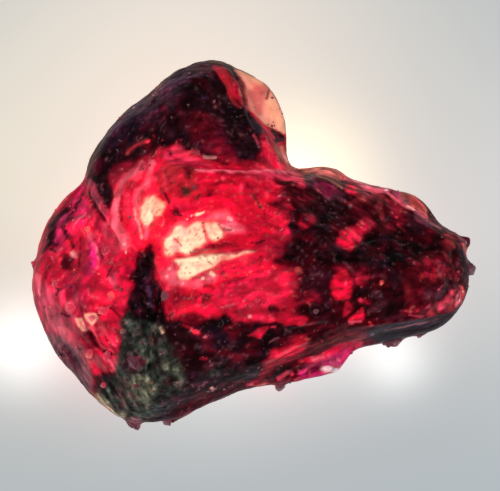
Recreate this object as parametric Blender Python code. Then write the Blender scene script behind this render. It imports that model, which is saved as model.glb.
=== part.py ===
"""A piece of rough ruby: one water-worn lump of red corundum, lying on its broken flat side.

The lump is shaped as seen from above at a slant, the way such a stone is looked at. Three
directions are used for that: u to the right, v up the picture and w towards the eye.
A round ball is pushed out to the stone's outline, its lobes, ledges and hollows are raised
or sunk along w, flat chips are struck off its sides, and the whole is turned onto its base.
Sizes are in millimetres, and the finished mesh is scaled to metres.
"""
import math

import bmesh
import bpy
import numpy as np
from mathutils import Matrix, Vector, noise
from mathutils.bvhtree import BVHTree

MM = 0.001

# The whole stone
SLANT = math.radians(70)          # how steeply the outline looks down on the resting stone
HUB = (-2.3, -0.6)                # the outline and the ball are centred here, in (u, v)
FRONT_DEPTH = 7.0                 # from the widest section to the top of the lump, along w
BACK_DEPTH = 6.8                  # and to its underside
LEAN = 0.27                       # fall of the widest section with v, so that the lump lies level
FULLNESS = 0.64                   # under 1 makes the sides stand up more than an egg's
BASE_CUT = 1.5                    # how much of the underside the flat break took off
NOSE_THINNING = 0.22              # share of its depth that the lump loses towards the nose
NOSE_SPAN = (2.0, 13.0)           # the stretch of u in which it loses it
EVENING = math.radians(28)        # bearings on each side that the inner rings even the outline over
RING_SPAN = (0.25, 0.97)          # share of the way out in which the rings take the outline's shape
RELIEF_SPAN = (0.04, 0.4)         # height on the ball in which the relief sets in
LUMPS = [(3.4, 0.3), (1.5, 0.13)]  # uneven lumps all over: size and height
LUMPS_SPAN = (0.0, 0.3)           # height on the ball in which the lumps set in
ROUGHER_BELOW = 1.8               # how much higher the lumps are on the underside
CHIP_HOLLOW = 0.12                # how much a chip's face is dished

# How the solid is made
BALL_STEPS = 6                    # subdivisions of the ball
KEPT_FACES = 0.43                 # share of the ball's faces that the solid keeps
EYE_DISTANCE = 40                 # well above the lump, to look down w from
FLOOR_SIDE = 60                   # side of the block that cuts the base

# The outline, as (u, v) points counter-clockwise from the tip of the nose
OUTLINE = [
    (13.9, -2.6), (13.75, -0.9), (13.4, 0.2), (12.5, 0.7), (11.3, 2.1), (10.3, 2.9), (9.3, 3.2),
    (7.8, 3.5), (6.5, 3.85), (5.5, 4.5), (4.5, 4.7), (3.4, 4.5), (2.7, 4.6), (2.3, 5.6),
    (2.25, 7.0), (1.9, 8.6), (1.2, 9.8), (0.1, 10.6), (-1.0, 11.1), (-1.9, 11.55), (-2.9, 11.5),
    (-3.9, 11.3), (-4.9, 10.9), (-5.9, 10.1), (-6.8, 9.2), (-7.7, 8.5), (-9.0, 7.3), (-9.9, 5.9),
    (-10.4, 4.9), (-10.65, 3.9), (-11.9, 2.7), (-12.9, 1.3), (-13.6, -0.5), (-13.95, -2.2),
    (-13.9, -3.7), (-13.4, -5.2), (-12.6, -6.9), (-11.1, -8.8), (-9.4, -10.6), (-8.3, -11.3),
    (-7.1, -11.6), (-5.8, -11.55), (-4.5, -11.3), (-3.3, -10.7), (-1.9, -10.1), (-0.4, -9.55),
    (1.4, -9.2), (3.5, -8.9), (4.6, -8.6), (5.5, -7.9), (6.2, -7.2), (7.7, -6.7), (9.7, -6.25),
    (12.0, -5.6), (13.3, -4.4),
]

# Ledges: a line with its lower side on the left, the drop there, and the reach in which it dies out
LEDGES = [
    # the crest over the cheek
    ([(-6.2, -3.0), (-6.9, -1.8), (-7.9, -0.6), (-9.2, 0.9), (-10.1, 2.4), (-11.6, 6.4)], 1.5, 2.8),
    # the shoulder over the crest
    ([(-6.2, 5.3), (-3.3, 4.6), (-0.7, 4.2), (2.4, 4.4), (4.6, 5.6)], 0.9, 2.2),
    # the dark skin over the clear wedge
    ([(-2.3, 13.4), (-0.5, 9.9), (-0.2, 8.3), (0.7, 7.2), (1.7, 5.8), (2.9, 4.2), (4.2, 3.4)], 2.2, 3.4),
    # the skin over the thin flakes of the upper rim
    ([(2.8, 4.7), (6.0, 3.5), (7.9, 2.3), (9.5, 1.7), (11.5, 1.2), (13.3, 0.0), (15.0, -0.9)], 0.9, 1.6),
    # the brow over the keel
    ([(8.6, -6.0), (5.1, -7.0), (2.5, -7.7), (-0.7, -8.9), (-5.8, -10.9), (-8.0, -11.9)], 1.3, 2.2),
]
LEDGE_FACE = 0.5                  # half the width of a ledge's sloping face
LINE_FADE = 1.6                   # the length over which every line starts and ends

# Bends, where a face falls away on the right of the line: the line, its slope and its greatest fall
BENDS = [
    # the chamfer under the nose
    ([(1.2, -7.2), (6.5, -6.0), (9.5, -5.1), (12.1, -4.5), (15.2, -2.9)], 1.5, 1.6),
    # the rim of the cheek
    ([(-14.6, -0.9), (-13.9, -2.6), (-12.7, -5.2), (-11.2, -7.0), (-9.7, -8.6), (-8.3, -11.6)], 0.8, 1.3),
]

# Grooves: a line, its depth and its width; a ridge has a depth below nothing
GROOVES = [
    # the ravine down the front, and the groove round the knob
    ([(-6.7, -0.2), (-6.4, -2.2), (-6.3, -4.5), (-6.9, -6.7), (-7.3, -9.3)], 0.9, 0.75),
    ([(-6.5, 4.3), (-5.8, 2.6), (-4.7, 1.6), (-3.3, 1.8), (-2.4, 2.9)], 0.35, 0.3),
    # flutes across the middle
    ([(-6.0, -1.3), (-3.3, -1.1), (-0.6, -0.4), (2.6, 0.7)], 0.32, 0.38),
    ([(-4.6, -2.7), (-2.3, -2.0), (1.6, -0.9)], 0.32, 0.38),
    ([(-5.6, -4.1), (-2.9, -3.5), (0.3, -1.9), (3.6, -1.6)], 0.32, 0.38),
    # cracks in the cheek
    ([(-10.0, 1.6), (-9.8, -0.6), (-8.9, -2.6), (-8.4, -4.4)], 0.35, 0.4),
    ([(-12.2, -2.6), (-10.6, -4.4), (-9.4, -6.2), (-9.0, -8.0)], 0.35, 0.4),
    # the nose's ridge, and two folds of the crest
    ([(0.6, -1.4), (3.1, -1.6), (6.3, -1.5), (9.5, -0.7), (12.9, -0.3)], -0.5, 1.3),
    ([(-7.7, 5.2), (-8.4, 3.5), (-8.6, 1.6), (-8.2, 0.2)], -0.3, 0.35),
    ([(-6.4, 4.7), (-7.1, 3.2), (-7.3, 1.4), (-7.0, 0.2)], -0.3, 0.35),
]

# Low domes and hollows on the upper side: (u, v), radius, height
DOMES = [
    ((-8.8, 6.4), 1.9, 0.45), ((-6.2, 8.3), 1.7, 0.5), ((-3.6, 9.9), 1.6, 0.4),
    ((-1.4, 7.0), 1.9, 0.35), ((-4.3, 3.3), 1.7, 0.55), ((-2.6, -0.2), 3.0, 0.45),
    ((-11.6, -0.6), 2.4, 0.5), ((-9.7, -4.0), 1.8, 0.35), ((4.6, 2.0), 2.0, 0.4),
    ((9.6, -2.6), 2.4, 0.35), ((4.6, -4.2), 2.2, 0.3), ((-3.0, -7.3), 1.3, 0.45),
    ((-5.6, -9.6), 1.9, 0.4),
    ((-5.1, 6.5), 1.5, -0.45), ((1.0, 1.9), 1.6, -0.4), ((-10.6, 2.6), 1.0, -0.3),
    ((6.6, 0.1), 1.4, -0.3), ((1.6, -5.4), 1.7, -0.35), ((-12.0, -4.6), 1.1, -0.25),
]

# Chips struck off the sides and the underside: bearing in degrees, dip in degrees, depth
CHIPS = [
    (8, -52, 0.8), (47, -36, 1.6), (83, -50, 1.5), (118, -32, 1.5), (152, -55, 1.6),
    (189, -40, 1.2), (226, -52, 1.6), (262, -42, 1.0), (303, -56, 1.5), (338, -40, 0.7),
    (60, 46, 0.7), (135, 52, 0.8), (205, 50, 0.5),
]

# Crumbs of other crystals grown into the skin: (u, v), half size, and how far they stand out
CRUMBS = [
    ((-12.4, -2.2), 0.42, 0.35), ((-11.5, -3.0), 0.36, 0.30), ((-10.9, -3.6), 0.30, 0.26),
    ((-9.9, -4.5), 0.38, 0.30), ((-10.3, -5.0), 0.30, 0.24), ((-9.5, -6.4), 0.34, 0.26),
    ((-7.6, -7.8), 0.62, 0.40), ((-6.9, -9.0), 0.30, 0.24), ((-8.4, -9.9), 0.28, 0.22),
    ((-5.4, -4.0), 0.30, 0.22), ((-5.6, -5.9), 0.28, 0.22), ((-4.9, 8.4), 0.34, 0.24),
    ((-6.0, 7.5), 0.30, 0.24), ((4.0, -4.2), 0.44, 0.24), ((-1.9, 8.8), 0.26, 0.2),
]

# Crumbs that break the outline: (u, v), half size
RIM_CRUMBS = [
    ((-7.45, -11.75), 0.48), ((1.8, -9.35), 0.36), ((9.0, -6.55), 0.5), ((10.8, -6.2), 0.26),
    ((13.65, -0.1), 0.42), ((13.9, -1.75), 0.4), ((-14.0, -1.5), 0.3), ((-5.0, -11.6), 0.26),
]
RIM_STAND = 0.3                   # how far these sit out of the skin, as a share of their half size
CRUMB_TURN = 1.9                  # each crumb is turned this much further, in radians
CRUMB_SWAY = 0.4                  # and about an axis that leans this much further
CRUMB_WIDTHS = (0.8, 0.85, 0.9, 0.95, 1.0)
CRUMB_LENGTH = 1.15


def smooth(value, low, high):
    """0 below low, 1 above high, and an even S between them."""
    t = np.clip((value - low) / (high - low), 0.0, 1.0)
    return t * t * (3.0 - 2.0 * t)


def outline_radius(bearing):
    """Distance from HUB to the outline at each bearing, on a smooth closed curve."""
    offsets = np.array(OUTLINE) - HUB
    angles = np.arctan2(offsets[:, 1], offsets[:, 0])
    order = np.argsort(angles)
    angles, radii = angles[order], np.hypot(*offsets[order].T)
    knots = np.concatenate([angles[-2:] - math.tau, angles, angles[:2] + math.tau])
    values = np.concatenate([radii[-2:], radii, radii[:2]])
    slopes = np.gradient(values, knots)
    i = np.clip(np.searchsorted(knots, bearing) - 1, 0, len(knots) - 2)
    span = knots[i + 1] - knots[i]
    t = (bearing - knots[i]) / span
    start, end = values[i], values[i + 1]
    leave, arrive = slopes[i] * span, slopes[i + 1] * span
    return (
        start * (2 * t**3 - 3 * t**2 + 1)
        + leave * (t**3 - 2 * t**2 + t)
        + end * (3 * t**2 - 2 * t**3)
        + arrive * (t**3 - t**2)
    )


def mean_radius(bearing, spread):
    """The outline's radius evened out over a spread of bearings, for the inner rings."""
    turns = np.linspace(-spread, spread, 9)
    wrapped = (bearing[:, None] + turns + math.pi) % math.tau - math.pi
    return outline_radius(wrapped).mean(axis=1)


def rounded(line, rounds=2):
    """The line with its corners cut, so that it bends smoothly between the same ends."""
    points = np.array(line, float)
    for _ in range(rounds):
        early = 0.75 * points[:-1] + 0.25 * points[1:]
        late = 0.25 * points[:-1] + 0.75 * points[1:]
        between = np.stack([early, late], axis=1).reshape(-1, 2)
        points = np.concatenate([points[:1], between, points[-1:]])
    return points


def along_line(u, v, line):
    """Distance from a line of points, the side, +1 being left, and a fade at its ends."""
    nearest = np.full(len(u), np.inf)
    side = np.zeros(len(u))
    run = np.zeros(len(u))
    before = 0.0
    points = rounded(line)
    for (u0, v0), (u1, v1) in zip(points[:-1], points[1:]):
        du, dv = u1 - u0, v1 - v0
        length = math.hypot(du, dv)
        share = np.clip(((u - u0) * du + (v - v0) * dv) / length**2, 0.0, 1.0)
        away = np.hypot(u - u0 - share * du, v - v0 - share * dv)
        turn = np.sign(du * (v - v0) - dv * (u - u0))
        closer = away < nearest
        nearest = np.where(closer, away, nearest)
        side = np.where(closer, turn, side)
        run = np.where(closer, before + share * length, run)
        before += length
    fade = smooth(run, 0.0, LINE_FADE) * smooth(before - run, 0.0, LINE_FADE)
    return nearest, side, fade


def ledge(u, v, line, drop, reach):
    """A step down on the left of the line that climbs back over the reach."""
    away, side, fade = along_line(u, v, line)
    step = smooth(away * side, -LEDGE_FACE, LEDGE_FACE)
    return -drop * fade * step * np.exp(-((away / reach) ** 2))


def bend(u, v, line, slope, most):
    """A face that falls away on the right of the line, down to a depth of most."""
    away, side, fade = along_line(u, v, line)
    fall = np.where(side < 0, away, 0.0) * slope * fade
    return -most * (1.0 - np.exp(-fall / most))


def groove(u, v, line, depth, width):
    """A groove along the line, or a ridge where depth is negative."""
    away, _, fade = along_line(u, v, line)
    return -depth * fade * np.exp(-((away / width) ** 2))


def upper_relief(u, v):
    """Height of the lobes, ledges and hollows of the upper side, along w."""
    height = np.zeros(len(u))
    for line, drop, reach in LEDGES:
        height += ledge(u, v, line, drop, reach)
    for line, slope, most in BENDS:
        height += bend(u, v, line, slope, most)
    for line, depth, width in GROOVES:
        height += groove(u, v, line, depth, width)
    for (dome_u, dome_v), radius, rise in DOMES:
        height += rise * np.exp(-((u - dome_u) ** 2 + (v - dome_v) ** 2) / radius**2)
    return height


def lumps(points, size):
    """Smooth uneven lumps of about the given size, from -1 to 1."""
    return np.array([noise.noise(Vector(point) / size) for point in points])


def strike_chip(points, bearing, dip, depth):
    """Breaks a slightly hollow face off the lump, facing the bearing and the dip."""
    turn, tilt = math.radians(bearing), math.radians(dip)
    facing = np.array([
        math.cos(turn) * math.cos(tilt), math.sin(turn) * math.cos(tilt), math.sin(tilt),
    ])
    reach = points @ facing
    over = np.maximum(reach - (reach.max() - depth), 0.0)
    return points - np.outer(over + CHIP_HOLLOW * smooth(over, 0.2 * depth, depth), facing)


def lump_points(ball):
    """The ball's points moved out to the lump's surface, in (u, v, w)."""
    across = np.hypot(ball[:, 0], ball[:, 1])
    bearing = np.arctan2(ball[:, 1], ball[:, 0])
    inner = mean_radius(bearing, EVENING)
    radius = inner + (outline_radius(bearing) - inner) * smooth(across, *RING_SPAN)
    u = HUB[0] + radius * ball[:, 0]
    v = HUB[1] + radius * ball[:, 1]
    rise = ball[:, 2]
    depth = np.where(rise > 0, FRONT_DEPTH, BACK_DEPTH)
    thin = 1.0 - NOSE_THINNING * smooth(u, *NOSE_SPAN)
    w = -LEAN * v + np.sign(rise) * np.abs(rise) ** FULLNESS * depth * thin
    w += upper_relief(u, v) * smooth(rise, *RELIEF_SPAN)
    points = np.stack([u, v, w], axis=1)
    for bearing_deg, dip_deg, depth_mm in CHIPS:
        points = strike_chip(points, bearing_deg, dip_deg, depth_mm)
    roughness = np.where(rise > 0, 1.0, ROUGHER_BELOW) * smooth(np.abs(rise), *LUMPS_SPAN)
    uneven = sum(height * lumps(points, size) for size, height in LUMPS)
    points[:, 2] += uneven * roughness
    return points


def to_world():
    """Turns (u, v, w) into the resting stone's x, y and z."""
    lean = math.sin(SLANT)
    tilt = math.cos(SLANT)
    return Matrix(((1, 0, 0), (0, lean, -tilt), (0, tilt, lean)))


def ruby_material():
    """Deep red, glassy corundum that lets light through."""
    material = bpy.data.materials.new("ruby")
    material.use_nodes = True
    shader = material.node_tree.nodes["Principled BSDF"]
    shader.inputs["Base Color"].default_value = (0.45, 0.008, 0.035, 1.0)
    shader.inputs["Roughness"].default_value = 0.18
    shader.inputs["Metallic"].default_value = 0.0
    shader.inputs["IOR"].default_value = 1.77
    shader.inputs["Transmission Weight"].default_value = 0.6
    return material


def add_object(name, shape):
    """Puts a bmesh into the scene as an object of this name."""
    mesh = bpy.data.meshes.new(name)
    shape.to_mesh(mesh)
    shape.free()
    made = bpy.data.objects.new(name, mesh)
    bpy.context.scene.collection.objects.link(made)
    return made


def make_lump():
    """The lump itself, in millimetres, before its base is cut."""
    shape = bmesh.new()
    bmesh.ops.create_icosphere(shape, subdivisions=BALL_STEPS, radius=1.0)
    ball = np.array([vertex.co for vertex in shape.verts])
    turn = np.array(to_world())
    for vertex, place in zip(shape.verts, lump_points(ball) @ turn.T):
        vertex.co = place
    return shape


def make_crumbs(lump):
    """Small blocky crystals sunk in the skin, each with flat faces and its own turn."""
    turn = to_world()
    toward_eye = turn @ Vector((0, 0, 1))
    skin = BVHTree.FromBMesh(lump)
    places = []
    for (u, v), half, stand in CRUMBS:
        place, normal, _, _ = skin.ray_cast(turn @ Vector((u, v, EYE_DISTANCE)), -toward_eye)
        places.append((place + normal * (stand - half), half))
    for (u, v), half in RIM_CRUMBS:
        place, normal, _, _ = skin.find_nearest(turn @ Vector((u, v, -LEAN * v)))
        places.append((place + normal * RIM_STAND * half, half))

    shape = bmesh.new()
    for number, (place, half) in enumerate(places):
        spin = Matrix.Rotation(CRUMB_TURN * number, 4, Vector((1, CRUMB_SWAY * number, 0.7)).normalized())
        stretch = Matrix.Diagonal((1.0, CRUMB_WIDTHS[number % len(CRUMB_WIDTHS)], CRUMB_LENGTH, 1.0))
        where = Matrix.Translation(place) @ spin @ stretch
        bmesh.ops.create_icosphere(shape, subdivisions=1, radius=half, matrix=where)
    return shape


def scale_to_metres(shape, drop):
    """Moves the shape by the drop and turns its millimetres to metres."""
    bmesh.ops.translate(shape, verts=shape.verts, vec=drop)
    bmesh.ops.scale(shape, verts=shape.verts, vec=(MM, MM, MM))


def helper(obj):
    """Marks a cutter, which isn't part of the stone."""
    obj.hide_render = True
    obj.display_type = "WIRE"
    return obj


def boolean(obj, name, operation, other):
    """Joins or cuts obj with another closed mesh."""
    modifier = obj.modifiers.new(name, "BOOLEAN")
    modifier.operation = operation
    modifier.solver = "EXACT"
    modifier.object = other


def main():
    for old in list(bpy.data.objects):
        bpy.data.objects.remove(old, do_unlink=True)

    lump = make_lump()
    crumbs = make_crumbs(lump)
    corners = np.array([vertex.co for shape in (lump, crumbs) for vertex in shape.verts])
    middle = (corners.min(axis=0) + corners.max(axis=0)) / 2
    lowest = min(vertex.co.z for vertex in lump.verts)
    drop = Vector((-middle[0], -middle[1], -lowest - BASE_CUT))
    scale_to_metres(lump, drop)
    scale_to_metres(crumbs, drop)

    stone = add_object("rough_ruby", lump)
    stone.data.materials.append(ruby_material())
    fewer = stone.modifiers.new("fewer_faces", "DECIMATE")
    fewer.ratio = KEPT_FACES

    boolean(stone, "grown_in_crumbs", "UNION", helper(add_object("crumbs", crumbs)))

    floor = bmesh.new()
    side = FLOOR_SIDE * MM
    below = Matrix.Translation((0, 0, -side / 2)) @ Matrix.Scale(side, 4)
    bmesh.ops.create_cube(floor, size=1.0, matrix=below)
    boolean(stone, "flat_base", "DIFFERENCE", helper(add_object("floor_block", floor)))


main()
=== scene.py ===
"""Looks of a piece of rough ruby, lit from below and from a soft studio light above.

The stone is shaped and stained as the eye sees it, with light and shade painted into the
stains: u to the right, v up the picture and w towards the eye, in millimetres, from a point
in the middle of the stone.
"""

import math
import random

import bmesh
import bpy
import numpy as np
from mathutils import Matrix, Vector, noise
from mathutils.bvhtree import BVHTree


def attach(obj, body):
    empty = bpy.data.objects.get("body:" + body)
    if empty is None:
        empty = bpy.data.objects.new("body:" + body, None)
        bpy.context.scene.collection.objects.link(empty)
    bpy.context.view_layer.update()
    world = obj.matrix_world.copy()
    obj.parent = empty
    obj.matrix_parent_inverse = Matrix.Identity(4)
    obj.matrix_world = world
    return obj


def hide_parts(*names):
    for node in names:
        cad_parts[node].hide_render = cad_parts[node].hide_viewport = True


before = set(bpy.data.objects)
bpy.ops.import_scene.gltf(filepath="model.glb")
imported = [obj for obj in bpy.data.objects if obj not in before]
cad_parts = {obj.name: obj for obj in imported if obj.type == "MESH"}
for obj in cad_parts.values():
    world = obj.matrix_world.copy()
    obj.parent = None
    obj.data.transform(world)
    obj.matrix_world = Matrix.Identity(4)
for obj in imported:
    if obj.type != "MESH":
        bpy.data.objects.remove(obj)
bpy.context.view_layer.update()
scene = bpy.context.scene

# The view
# The eye looks down on the resting stone at a slant, through a long lens, so that the
# stone's outline is seen nearly free of perspective.
MM = 0.001
SLANT = math.radians(70)
MIDDLE = Vector((-0.09, 0.35, 5.12))    # the stone's middle in the picture, in mm
EYE_DISTANCE = 600
PICTURE_WIDTH = 32                      # how much the picture takes in at the middle
AIM = (-0.064, -0.352)                  # (u, v) at the picture's centre
SENSOR = 36
NEAREST = 0.01                          # the lens sees from here to there, in metres
FARTHEST = 10

RIGHT = Vector((1, 0, 0))
UP = Vector((0, math.sin(SLANT), math.cos(SLANT)))
TO_EYE = Vector((0, -math.cos(SLANT), math.sin(SLANT)))
AXES = np.array([RIGHT, UP, TO_EYE])


def at(u, v, w):
    """The place of a picture point, in metres."""
    return (MIDDLE + RIGHT * u + UP * v + TO_EYE * w) * MM


lens = bpy.data.cameras.new("long_lens")
lens.sensor_width = SENSOR
lens.lens = SENSOR * EYE_DISTANCE / PICTURE_WIDTH
lens.clip_start = NEAREST
lens.clip_end = FARTHEST
eye = bpy.data.objects.new("eye", lens)
scene.collection.objects.link(eye)
eye.location = at(*AIM, EYE_DISTANCE)
eye.rotation_mode = "QUATERNION"
eye.rotation_quaternion = (-TO_EYE).to_track_quat("-Z", "Y")
scene.camera = eye
scene.view_settings.view_transform = "Standard"


# The table and the light
# A pale matt sheet, evenly lit from beneath like a light box, with a warm patch under the
# stone that shows in the notch between its lobes.
SHEET_HALF = 1.2
SHEET_GAP = 0.00004                     # the sheet lies this far below the resting face
SHEET_COLOUR = (0.40, 0.40, 0.40, 1.0)
SHEET_ROUGHNESS = 0.9
SHEET_GLOW = (0.410, 0.460, 0.480)
ROOM_COLOUR = (0.86, 0.88, 0.92, 1.0)
ROOM_STRENGTH = 0.06
POOLS = [
    # colour of the light, its place (x, y) and its reach in mm
    ((0.42, 0.29, 0.18), (-4.0, 13.0), 16.0),
    ((0.22, 0.17, 0.06), (-22.0, 4.0), 12.0),
    ((0.20, 0.17, 0.15), (22.0, 3.0), 12.0),
    ((0.60, 0.46, 0.20), (3.0, 6.2), 4.5),
    ((0.60, 0.55, 0.40), (2.2, 5.2), 2.2),
    ((0.50, 0.52, 0.52), (-15.0, -5.0), 3.0),
    ((0.55, 0.52, 0.50), (-3.0, -1.0), 7.5),
    ((0.40, 0.38, 0.36), (6.0, -1.5), 5.0),
    ((0.34, 0.34, 0.33), (9.2, -6.0), 2.2),
]
LAMPS = [
    # name, place in metres, side, watts, colour
    ("window", (-0.25, 0.22, 0.45), 0.07, 0.06, (0.93, 0.95, 1.0)),
    ("ceiling", (0.20, -0.28, 0.50), 0.05, 0.02, (1.0, 0.97, 0.94)),
]


class Wire:
    """An output socket in a node tree. Sums and products are written as Python expressions."""

    def __init__(self, tree, socket=None):
        self.tree = tree
        self.socket = socket

    def node(self, kind, settings, inputs, output=0):
        """Adds a node and gives back one of its outputs. Settings come before the inputs."""
        made = self.tree.nodes.new(kind)
        for name, value in settings.items():
            if name == "stops":
                ramp = made.color_ramp
                while len(ramp.elements) < len(value):
                    ramp.elements.new(1.0)
                for element, (place, colour) in zip(ramp.elements, value):
                    element.position = place
                    element.color = (*colour, 1.0)
            else:
                setattr(made, name, value)
        for name, value in inputs.items():
            if isinstance(value, Wire):
                self.tree.links.new(value.socket, made.inputs[name])
            else:
                made.inputs[name].default_value = value
        return Wire(self.tree, made.outputs[output])

    def maths(self, operation, *values):
        return self.node("ShaderNodeMath", {"operation": operation}, dict(enumerate(values)))

    def __add__(self, other):
        return self.maths("ADD", self, other)

    __radd__ = __add__

    def __sub__(self, other):
        return self.maths("SUBTRACT", self, other)

    def __rsub__(self, other):
        return self.maths("SUBTRACT", other, self)

    def __mul__(self, other):
        return self.maths("MULTIPLY", self, other)

    __rmul__ = __mul__

    def between(self, low, high):
        """0 below low, 1 above high, and a smooth rise between them."""
        settings = {"interpolation_type": "SMOOTHSTEP"}
        return self.node("ShaderNodeMapRange", settings, {0: self, 1: low, 2: high})

    def place(self):
        """Where a point of the piece is, in metres."""
        return self.node("ShaderNodeTexCoord", {}, {}, "Object")

    def attribute(self, name, output="Fac"):
        return self.node("ShaderNodeAttribute", {"attribute_name": name}, {}, output)

    def vectors(self, operation, first, second, output=0):
        """The sum, the difference or the distance of two vectors, or a scaled vector."""
        inputs = {0: first, "Scale" if operation == "SCALE" else 1: second}
        return self.node("ShaderNodeVectorMath", {"operation": operation}, inputs, output)

    def mixed(self, share, first, second, blend="MIX"):
        """The first colour, giving way by that share to the second or to their product."""
        settings = {"data_type": "RGBA", "blend_type": blend}
        return self.node("ShaderNodeMix", settings, {0: share, 6: first, 7: second}, 2)

    def cloud(self, place, repeats, detail=3.0):
        """Cloudy noise from 0 to 1 that repeats this many times in a metre."""
        inputs = {"Vector": place, "Scale": repeats, "Detail": detail}
        return self.node("ShaderNodeTexNoise", {}, inputs)

    def ends_in(self, outlet):
        """Links this output to a socket of the tree's last node."""
        self.tree.links.new(self.socket, outlet)


def new_material(name):
    """An empty material, with a wire to start from and its output node."""
    material = bpy.data.materials.new(name)
    material.use_nodes = True
    tree = material.node_tree
    tree.nodes.clear()
    return material, Wire(tree), tree.nodes.new("ShaderNodeOutputMaterial")


sheet_mesh = bpy.data.meshes.new("light_sheet")
corners = [(-1, -1), (1, -1), (1, 1), (-1, 1)]
corners = [(x * SHEET_HALF, y * SHEET_HALF, -SHEET_GAP) for x, y in corners]
sheet_mesh.from_pydata(corners, [], [range(4)])
sheet = bpy.data.objects.new("light_sheet", sheet_mesh)
scene.collection.objects.link(sheet)

sheet_paint, wire, output = new_material("light_sheet")


def pool(x, y, reach):
    """A round pool of light on the sheet, 1 in its middle."""
    away = wire.vectors("DISTANCE", wire.place(), (x * MM, y * MM, 0.0), 1)
    share = away * (1.0 / (reach * MM))
    return wire.maths("EXPONENT", share * share * -1.0)


glow = SHEET_GLOW
for colour, (x, y), reach in POOLS:
    glow = wire.vectors("ADD", glow, wire.vectors("SCALE", colour, pool(x, y, reach)))
wire.node("ShaderNodeBsdfPrincipled", {}, {
    "Base Color": SHEET_COLOUR,
    "Roughness": SHEET_ROUGHNESS,
    "Emission Color": glow,
    "Emission Strength": 1.0,
}).ends_in(output.inputs["Surface"])
sheet_mesh.materials.append(sheet_paint)

room = bpy.data.worlds.new("pale_room")
room.use_nodes = True
backdrop = room.node_tree.nodes["Background"]
backdrop.inputs["Color"].default_value = ROOM_COLOUR
backdrop.inputs["Strength"].default_value = ROOM_STRENGTH
scene.world = room

for name, place, side, watts, colour in LAMPS:
    lamp = bpy.data.lights.new(name, "AREA")
    lamp.size = side
    lamp.energy = watts
    lamp.color = colour
    lamp_object = bpy.data.objects.new(name, lamp)
    scene.collection.objects.link(lamp_object)
    lamp_object.location = place
    lamp_object.rotation_mode = "QUATERNION"
    lamp_object.rotation_quaternion = Vector(place).to_track_quat("Z", "Y")


# The lump of ruby
# One piece of red corundum, tumbled smooth, with ledges, folds and chipped sides. The solid
# gives its form; here it gets an even skin of small faces, and then its finer relief.
SKIN_STEP = 0.00022
SMOOTHING = 4                           # rounds of evening out
SAME_POINT = 1e-7                       # corners of the solid nearer than this are one
FINE_FROM = 0.12                        # faces turned to the eye more than this are split

solid = bmesh.new()
solid.from_mesh(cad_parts["rough_ruby"].data)
bmesh.ops.remove_doubles(solid, verts=solid.verts, dist=SAME_POINT)
rough_mesh = bpy.data.meshes.new("rough_lump")
solid.to_mesh(rough_mesh)
solid.free()
rough_lump = bpy.data.objects.new("rough_lump", rough_mesh)
scene.collection.objects.link(rough_lump)
even = rough_lump.modifiers.new("even_skin", "REMESH")
even.mode = "VOXEL"
even.voxel_size = SKIN_STEP
soft = rough_lump.modifiers.new("soft_skin", "SMOOTH")
soft.iterations = SMOOTHING
depsgraph = bpy.context.evaluated_depsgraph_get()
lump_mesh = bpy.data.meshes.new_from_object(rough_lump.evaluated_get(depsgraph))
bpy.data.objects.remove(rough_lump)


def seen_from_above(face):
    return face.normal.dot(TO_EYE) > FINE_FROM


skin = bmesh.new()
skin.from_mesh(lump_mesh)
facing = {edge for face in skin.faces if seen_from_above(face) for edge in face.edges}
bmesh.ops.subdivide_edges(skin, edges=list(facing), cuts=1, use_grid_fill=True)
bmesh.ops.triangulate(skin, faces=[face for face in skin.faces if len(face.verts) > 4])
skin.to_mesh(lump_mesh)
skin.free()


def read_points(mesh):
    """The mesh's points in (u, v, w) and its normals in the room."""
    places = np.empty(len(mesh.vertices) * 3)
    mesh.vertices.foreach_get("co", places)
    normals = np.array([normal.vector for normal in mesh.vertex_normals])
    offsets = places.reshape(-1, 3) / MM - np.array(MIDDLE)
    return offsets @ AXES.T, normals


def smooth(value, low, high):
    """0 below low, 1 above high, and an even S between them."""
    share = np.clip((value - low) / (high - low), 0.0, 1.0)
    return share * share * (3.0 - 2.0 * share)


LATTICE_SIDE = 61
LATTICE = np.random.default_rng(11).uniform(-1.0, 1.0, (LATTICE_SIDE,) * 3)


def clouds(points, size, octaves=1, shift=0.0):
    """Cloudy noise of about that size in mm, mostly between -0.7 and 0.7."""
    total = np.zeros(len(points))
    for octave in range(octaves):
        place = points / size * 2.0**octave + shift + 7.3 * octave
        low = np.floor(place).astype(int)
        part = place - low
        part = part * part * (3.0 - 2.0 * part)
        for corner in np.ndindex(2, 2, 2):
            weight = np.prod(np.where(corner, part, 1.0 - part), axis=1)
            total += 0.5**octave * weight * LATTICE[tuple(((low + corner) % LATTICE_SIDE).T)]
    return total


def cells(points, size):
    """Distance to the nearest of many scattered seeds, less that to the next one."""
    gaps = []
    for point in points:
        nearest = noise.voronoi(Vector(point) / size)[0]
        gaps.append(nearest[1] - nearest[0])
    return np.array(gaps)


def rounded(line, closed=False):
    """The line's points with every corner cut."""
    points = np.array(line, float).reshape(-1, 2)
    if closed:
        points = np.concatenate([points, points[:1]])
    for _ in range(2):
        early = 0.75 * points[:-1] + 0.25 * points[1:]
        late = 0.25 * points[:-1] + 0.75 * points[1:]
        between = np.stack([early, late], axis=1).reshape(-1, 2)
        first, last = (points[:0], between[:1]) if closed else (points[:1], points[-1:])
        points = np.concatenate([first, between, last])
    return points


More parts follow.
